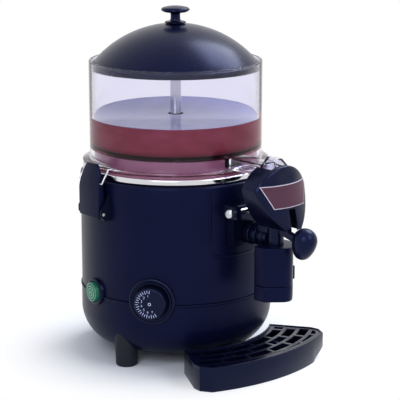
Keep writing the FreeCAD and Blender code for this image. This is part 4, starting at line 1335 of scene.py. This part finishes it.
    def pin(self) -> None:
        """Bright cross pin with domed heads."""
        end, neck = self.pin_half, self.pin_half - 3.2
        profile = [(0.0, -end)] + arc((3.6, -end), (6.2, 2.6 - end), 2.6, 5)
        profile += [(6.2, 2.6 - end), (6.2, -neck), (4.0, -neck), (4.0, neck), (6.2, neck)]
        profile += arc((6.2, end - 2.6), (3.6, end), 2.6, 5) + [(3.6, end), (0.0, end)]
        place = Matrix.Translation((0, -self.pin_y * MM, self.pin_z * MM))
        place @= Matrix.Rotation(math.radians(90), 4, "Y")
        rod = Maker.lathe("cross_pin", profile, place, 48)
        self.hand_over(rod, Look.DRAWN, "housing", "bright_steel", ["tap_pin"])


@dataclass
class Controls(SubAssembly):
    """Dial with its ticks and numbers, its stepped bezel, and the lit switch."""

    wall: float = BODY_RADIUS
    dial_azimuth: float = -57.2
    dial_height: float = 97.5
    dial_radius: float = 21.5
    dial_face: float = 14.6
    bezel_radius: float = 30.6
    spindle_hole: float = 3.8
    tick_count: int = 21
    tick_turn: float = 10.5
    tick_half: float = 0.33
    tick_end: float = 18.5
    digit_count: int = 7
    digit_size: float = 4.6
    digit_radius: float = 10.9
    switch_azimuth: float = -98.5
    switch_height: float = 96.5
    switch_radius: float = 18.0
    button_radius: float = 13.0

    def build(self) -> None:
        """Builds and dresses every piece."""
        place = on_wall(self.dial_azimuth, self.dial_height, self.wall)
        self.bezel(place)
        self.dial(place)
        self.marks(place)
        for digit in range(1, self.digit_count + 1):
            self.number(digit, place)
        place = on_wall(self.switch_azimuth, self.switch_height, self.wall)
        self.switch_ring(place)
        self.lens(place)

    def bezel(self, place: Matrix) -> None:
        """Bezel of the dial, with two rounded steps."""
        hole, r, b = self.spindle_hole, self.dial_radius, self.bezel_radius
        rings = [(hole, -9.0), (b, -9.0), (b, 2.0), (b - 0.5, 2.9), (b - 1.4, 3.4), (b - 2.8, 3.4),
                 (b - 3.4, 2.6), (b - 4.4, 2.4), (b - 5.0, 3.2), (b - 6.2, 3.3), (b - 6.8, 2.2), (r + 1, 2.0),
                 (r + 1, -1.5), (hole, -1.5)]
        bezel = Maker.lathe("dial_bezel_rings", rings, place)
        self.hand_over(bezel, Look.GLOSS, "housing", "black_plastic", ["dial_bezel"])

    def dial(self, place: Matrix) -> None:
        """Drum of the dial, with a rounded edge and a shallow well at its centre."""
        r, face = self.dial_radius, self.dial_face
        knob = [(0.0, -1.2), (r - 0.3, -1.2), (r, 0.5), (r - 0.5, face - 2.4)]
        knob += arc((r - 0.5, face - 2.4), (r - 2.9, face), 2.5, 6)
        knob += [(r - 2.9, face), (5.2, face), (4.6, face - 0.4), (0.0, face - 0.4)]
        dial = Maker.lathe("dial_body", knob, place)
        self.hand_over(dial, Look.GLOSS, "dial", "navy_plastic", ["dial_knob"])

    def marks(self, place: Matrix) -> None:
        """Ticks from twelve o'clock round by nine to five, and a small centre ring.

        Args:
            place: Placement of the dial.
        """
        bm = bmesh.new()
        half, end = self.tick_half, self.tick_end
        for i in range(self.tick_count):
            turn = Matrix.Rotation(math.radians(90 + self.tick_turn * i), 4, "Z")
            start = 13.9 if i % 2 == 0 else 15.0
            corners = [(start, -half), (end, -half), (end, half), (start, half)]
            base, top = ([turn @ Vector((x, y, z)) for x, y in corners]
                         for z in (self.dial_face - 0.05, self.dial_face + 0.12))
            Maker.prism(bm, base, top)
        ticks = Maker.settle(bm, "dial_ticks", place)
        self.hand_over(ticks, Look.INK, "dial", "navy_plastic")
        ring = eased([(1.2, 14.15), (2.1, 14.15), (2.1, 14.5), (1.2, 14.5)], 0.1)
        hub = Maker.lathe("dial_centre_mark", ring, place, 32)
        self.hand_over(hub, Look.INK, "dial", "navy_plastic")

    def number(self, digit: int, place: Matrix) -> None:
        """Plain number inside the ticks.

        Args:
            digit: The number, which also says where it stands.
            place: Placement of the dial.
        """
        text = bpy.data.curves.new("number", "FONT")
        text.body = str(digit)
        text.size = self.digit_size
        text.align_x = "CENTER"
        text.align_y = "CENTER"
        text.extrude = 0.06
        holder = bpy.data.objects.new("number", text)
        bm = bmesh.new()
        bm.from_mesh(bpy.data.meshes.new_from_object(holder))
        bpy.data.objects.remove(holder)
        turn, r = math.radians(90 + self.tick_turn * (3 * digit - 2)), self.digit_radius
        shift = Vector((r * math.cos(turn), r * math.sin(turn), self.dial_face + 0.07))
        bmesh.ops.translate(bm, vec=shift, verts=bm.verts)
        bmesh.ops.remove_doubles(bm, verts=bm.verts, dist=1e-5)
        mark = Maker.settle(bm, "dial_number_%d" % digit, place)
        self.hand_over(mark, Look.INK, "dial", "navy_plastic")

    def switch_ring(self, place: Matrix) -> None:
        """Black bezel of the switch."""
        r, b = self.switch_radius, self.button_radius
        ring = [(0.0, -22.0), (r, -22.0), (r, 2.4), (r - 0.5, 3.8), (r - 1.6, 4.4), (b + 1.6, 4.4),
                (b + 0.8, 4.0), (b + 0.4, 3.2), (b + 0.4, -10.0), (0.0, -10.0)]
        bezel = Maker.lathe("switch_ring", ring, place)
        self.hand_over(bezel, Look.GLOSS, "housing", "black_plastic", ["switch_bezel"])

    def lens(self, place: Matrix) -> None:
        """Lit button with rings moulded in its face."""
        b = self.button_radius
        cap = [(0.0, -5.5), (b, -5.5), (b, 7.4), (b - 0.6, 8.6), (b - 1.8, 9.4)]
        cap += [(10.0 - 1.65 * i, 9.7 + 0.12 * i + (0.45 if i % 2 == 0 else 0.0)) for i in range(6)]
        cap += [(0.0, 10.5)]
        lens = Maker.lathe("switch_lens", cap, place, 96, 60.0)
        self.hand_over(lens, Look.LENS, "switch", "green_lens", ["switch_button"])


@dataclass
class Latches(SubAssembly):
    """Side latches: shield cover, bracket, pin and wire bail."""

    azimuth: float = 96.0
    pin_radius: float = 137.2
    pin_height: float = 207.7
    bail_half: float = 25.0
    bail_foot: float = 40.0
    bail_wire: float = 1.4
    rim_radius: float = 128.0
    hook_radius: float = 120.5
    hook_height: float = 265.2

    def build(self) -> None:
        """Builds and dresses both sides."""
        for side, sign in (("left", -1.0), ("right", 1.0)):
            self.bail(side, sign)
            self.rounded_node("latch_cover_" + side, Look.BODY, "latch_" + side, "navy_plastic")
            self.dress_nodes(Look.BLACK, "latch_bracket_" + side)
            self.dress_nodes(Look.DRAWN, "latch_pin_" + side)

    def bail(self, side: str, sign: float) -> None:
        """Bent wire from the cover over the bowl's flange.

        Args:
            side: Name of the side.
            sign: -1 on the left and 1 on the right.
        """
        half, foot = self.bail_half, self.pin_height + self.bail_foot
        out, bar = self.pin_radius + 0.5, self.hook_height
        route = [(half - 3.6, out, foot), (half, out, foot), (half, self.rim_radius, bar),
                 (half, self.hook_radius, bar)]
        route += [(-x, r, z) for x, r, z in route[::-1]]
        turn = Matrix.Rotation(math.radians(sign * self.azimuth), 4, "Z")
        points = [turn @ Vector((x, -r, z)) for x, r, z in route]
        wire = Maker.tube("bail_wire_" + side, points, self.bail_wire)
        self.hand_over(wire, Look.DRAWN, "latch_" + side, "bright_steel", ["latch_bail_" + side])


@dataclass
class DripTray(SubAssembly):
    """Hollow tray and the grate that lifts out of it."""

    height: float = 33.0
    wall: float = 2.6
    rear: float = 128.0
    front: float = 254.5
    rear_half: float = 80.0
    side_half: float = 112.0
    nose_half: float = 104.0
    ramp_start: float = 76.0
    ramp_step: float = 3.0
    ramp_slope: float = 0.34
    stud_top: float = 28.4

    def build(self) -> None:
        """Builds and dresses every piece."""
        self.pan()
        self.studs()
        self.rounded_node("tray_grate", Look.GLOSS, "grate", "navy_plastic")

    def outline(self, inset: float) -> list[Point2]:
        """Outline of the tray in plan.

        Args:
            inset: How far it is drawn in.

        Returns:
            The outline.
        """
        corner, rear, side = self.rear_half - 0.275 * inset, self.rear + inset, self.side_half - inset
        back, elbow = -math.sqrt(rear * rear - corner * corner), -(150.0 + 0.3 * inset)
        nose, front = self.nose_half - 0.7 * inset, 0.8 * inset - 176.5
        return traced([(corner, back, -rear), (-corner, back), (1.5 - side, elbow), (-side, -162.0),
                       (-nose, front, self.front - inset), (nose, front), (side, -162.0),
                       (side - 1.5, elbow)], 40)

    def ramp(self, x: float) -> float:
        """Height of the tray's underside, which rises at the right end."""
        return self.ramp_step + (x - self.ramp_start) * self.ramp_slope if x > self.ramp_start else 0.0

    def pan(self) -> None:
        """Wall, rounded foot and floor of the tray in one skin."""
        top, wall = self.height, self.wall
        levels = [(1.0, 0.0), (0.3, 0.35), (0.0, 1.0), (0.0, top - 0.8), (0.25, top - 0.25), (0.8, top),
                  (wall - 0.6, top), (wall - 0.1, top - 0.3), (wall, top - 0.9), (wall, wall + 0.2),
                  (wall + 0.6, wall)]
        rings = [[Vector((x, y, z + self.ramp(x) if z < top / 2 else z)) for x, y in self.outline(inset)]
                 for inset, z in levels]
        pan = Maker.loft("tray_pan_skin", rings)
        self.hand_over(pan, Look.GLOSS, "tray", "navy_plastic", ["drip_tray"])

    def studs(self) -> None:
        """Posts that the grate stands on."""
        top = self.stud_top
        post = [(0.0, 2.0), (4.4, 2.0), (4.0, 4.0), (3.8, top - 0.4), (3.2, top), (0.0, top)]
        for i, (x, y) in enumerate(((-40.0, -150.0), (40.0, -150.0), (0.0, -182.0))):
            stud = Maker.lathe("tray_stud_%d" % i, post, Matrix.Translation((x * MM, y * MM, 0)), 32)
            self.hand_over(stud, Look.BODY, "tray", "navy_plastic", ["drip_tray"])


# Studio
@dataclass
class Studio:
    """Camera, floor, world and soft lamps, with their places and sizes in metres."""

    azimuth: float = -44.0
    tilt: float = 13.27
    distance: float = 2.162
    aim_height: float = 0.2025
    aim_right: float = 0.0324
    lens: float = 144.0
    floor_half: float = 6.0
    floor_colour: Colour = (0.86, 0.87, 0.9)
    floor_glow: Colour = (1.0, 0.99, 0.97)
    world_colour: Colour = (0.80, 0.86, 1.0)
    world_strength: float = 0.42
    lamp_aim: float = 0.25

    def build(self) -> None:
        """Sets the stage."""
        scene = bpy.context.scene
        scene.view_settings.view_transform = "Standard"
        self.camera(scene)
        self.floor()
        self.world(scene)
        self.lamp("key_lamp", (1.6, -0.2, 2.3), 1.5, 52.0, (0.86, 0.90, 1.0))
        self.lamp("left_lamp", (-2.0, -1.3, 1.5), 1.3, 26.0, (0.84, 0.88, 1.0))
        self.lamp("front_lamp", (0.5, -2.3, 1.9), 1.4, 22.0, (0.90, 0.93, 1.0))

    def camera(self, scene: bpy.types.Scene) -> None:
        """Long lens that looks down a little at the front left.

        Args:
            scene: The scene, which gets the camera.
        """
        data = bpy.data.cameras.new("camera")
        data.lens = self.lens
        data.sensor_width = 36.0
        data.clip_end = 50.0
        camera = bpy.data.objects.new("camera", data)
        turn, tilt = math.radians(self.azimuth), math.radians(self.tilt)
        right = Vector((math.cos(turn), math.sin(turn), 0.0))
        back = Vector((math.sin(turn) * math.cos(tilt), -math.cos(turn) * math.cos(tilt), math.sin(tilt)))
        camera.location = right * self.aim_right + back * self.distance + Vector((0, 0, self.aim_height))
        camera.rotation_euler = (math.radians(90) - tilt, 0.0, turn)
        scene.collection.objects.link(camera)
        scene.camera = camera

    def floor(self) -> None:
        """Pale floor that reads white to the camera and keeps the shadow, darkened by painted shade near the
        machine, where its glow and its white fade out towards the axis.
        """
        half = self.floor_half
        bm = bmesh.new()
        bm.faces.new([bm.verts.new((x, y, 0.0)) for x, y in oblong(half, -half, half)])
        floor = Maker.settle(bm, "studio_floor", scale=1.0)
        tree = Tree(bpy.data.materials.new("studio_floor"))
        tree.dress(Base_Color=self.floor_colour, Roughness=0.9, Specular_IOR_Level=0.0)
        reach = Value(tree, tree.vector("LENGTH", tree.place()).outputs["Value"])
        # Painted shade: the glow fades out towards the machine's axis, so the floor is darker round the
        # machine.
        glow_outside_painted_shade = self.seen(tree) * (reach.ramp(0.1, 0.24) * 0.36)
        glow = tree.add("ShaderNodeEmission", {}, {"Color": self.floor_glow, "Strength": glow_outside_painted_shade})
        near = tree.add("ShaderNodeAddShader", {}, {0: tree.shader.outputs[0], 1: glow.outputs[0]})
        white = tree.add("ShaderNodeEmission", {}, {"Color": WHITE, "Strength": 1.0})
        # Painted shade: the white also fades out towards the machine's axis.
        white_outside_painted_shade = reach.ramp(0.135, 0.25) * self.seen(tree)
        mix = tree.add("ShaderNodeMixShader", {}, {0: white_outside_painted_shade, 1: near.outputs[0], 2: white.outputs[0]})
        tree.feed(tree.first("OUTPUT_MATERIAL").inputs[0], mix.outputs[0])
        floor.data.materials.append(tree.owner)

    @staticmethod
    def seen(tree: Tree) -> Value:
        """One for camera, mirror and see-through rays.

        Args:
            tree: The tree that the nodes are added to.

        Returns:
            One or zero.
        """
        path = tree.add("ShaderNodeLightPath", {}, {})
        camera, mirror, through = (Value(tree, path.outputs[name])
                                   for name in ("Is Camera Ray", "Is Glossy Ray", "Is Transmission Ray"))
        return (camera + mirror + through).ramp(0.0, 1.0)

    def world(self, scene: bpy.types.Scene) -> None:
        """Soft pale world that the camera, metal and glass see as white.

        Args:
            scene: The scene, which gets the world.
        """
        scene.world = bpy.data.worlds.new("studio_world")
        tree = Tree(scene.world)
        tree.tree.nodes.clear()
        soft = tree.add("ShaderNodeBackground", {},
                        {"Color": self.world_colour, "Strength": self.world_strength})
        white = tree.add("ShaderNodeBackground", {}, {"Color": WHITE, "Strength": 1.0})
        mix = tree.add("ShaderNodeMixShader", {},
                       {0: self.seen(tree), 1: soft.outputs[0], 2: white.outputs[0]})
        tree.add("ShaderNodeOutputWorld", {}, {0: mix.outputs[0]})

    def lamp(self, name: str, place: tuple[float, float, float], size: float, power: float,
             colour: Colour) -> None:
        """Square soft lamp aimed at the machine.

        Args:
            name: The lamp's name.
            place: Where it stands.
            size: Length of its sides.
            power: Its watts.
            colour: Its colour.
        """
        data = bpy.data.lights.new(name, "AREA")
        data.size = size
        data.energy = power
        data.color = colour
        lamp = bpy.data.objects.new(name, data)
        lamp.location = place
        aim = Vector((0, 0, self.lamp_aim)) - Vector(place)
        lamp.rotation_euler = aim.to_track_quat("-Z", "Y").to_euler()
        bpy.context.scene.collection.objects.link(lamp)


def main() -> None:
    """Builds the machine around the frame and sets the stage."""
    logging.basicConfig(level=logging.INFO, format="%(name)s: %(message)s")
    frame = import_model()
    palette = Palette()
    for kind in (Housing, Bowl, Lid, Drive, Tap, Controls, Latches, DripTray):
        kind(frame, palette).build()
    Studio().build()


if __name__ == "__main__":
    main()
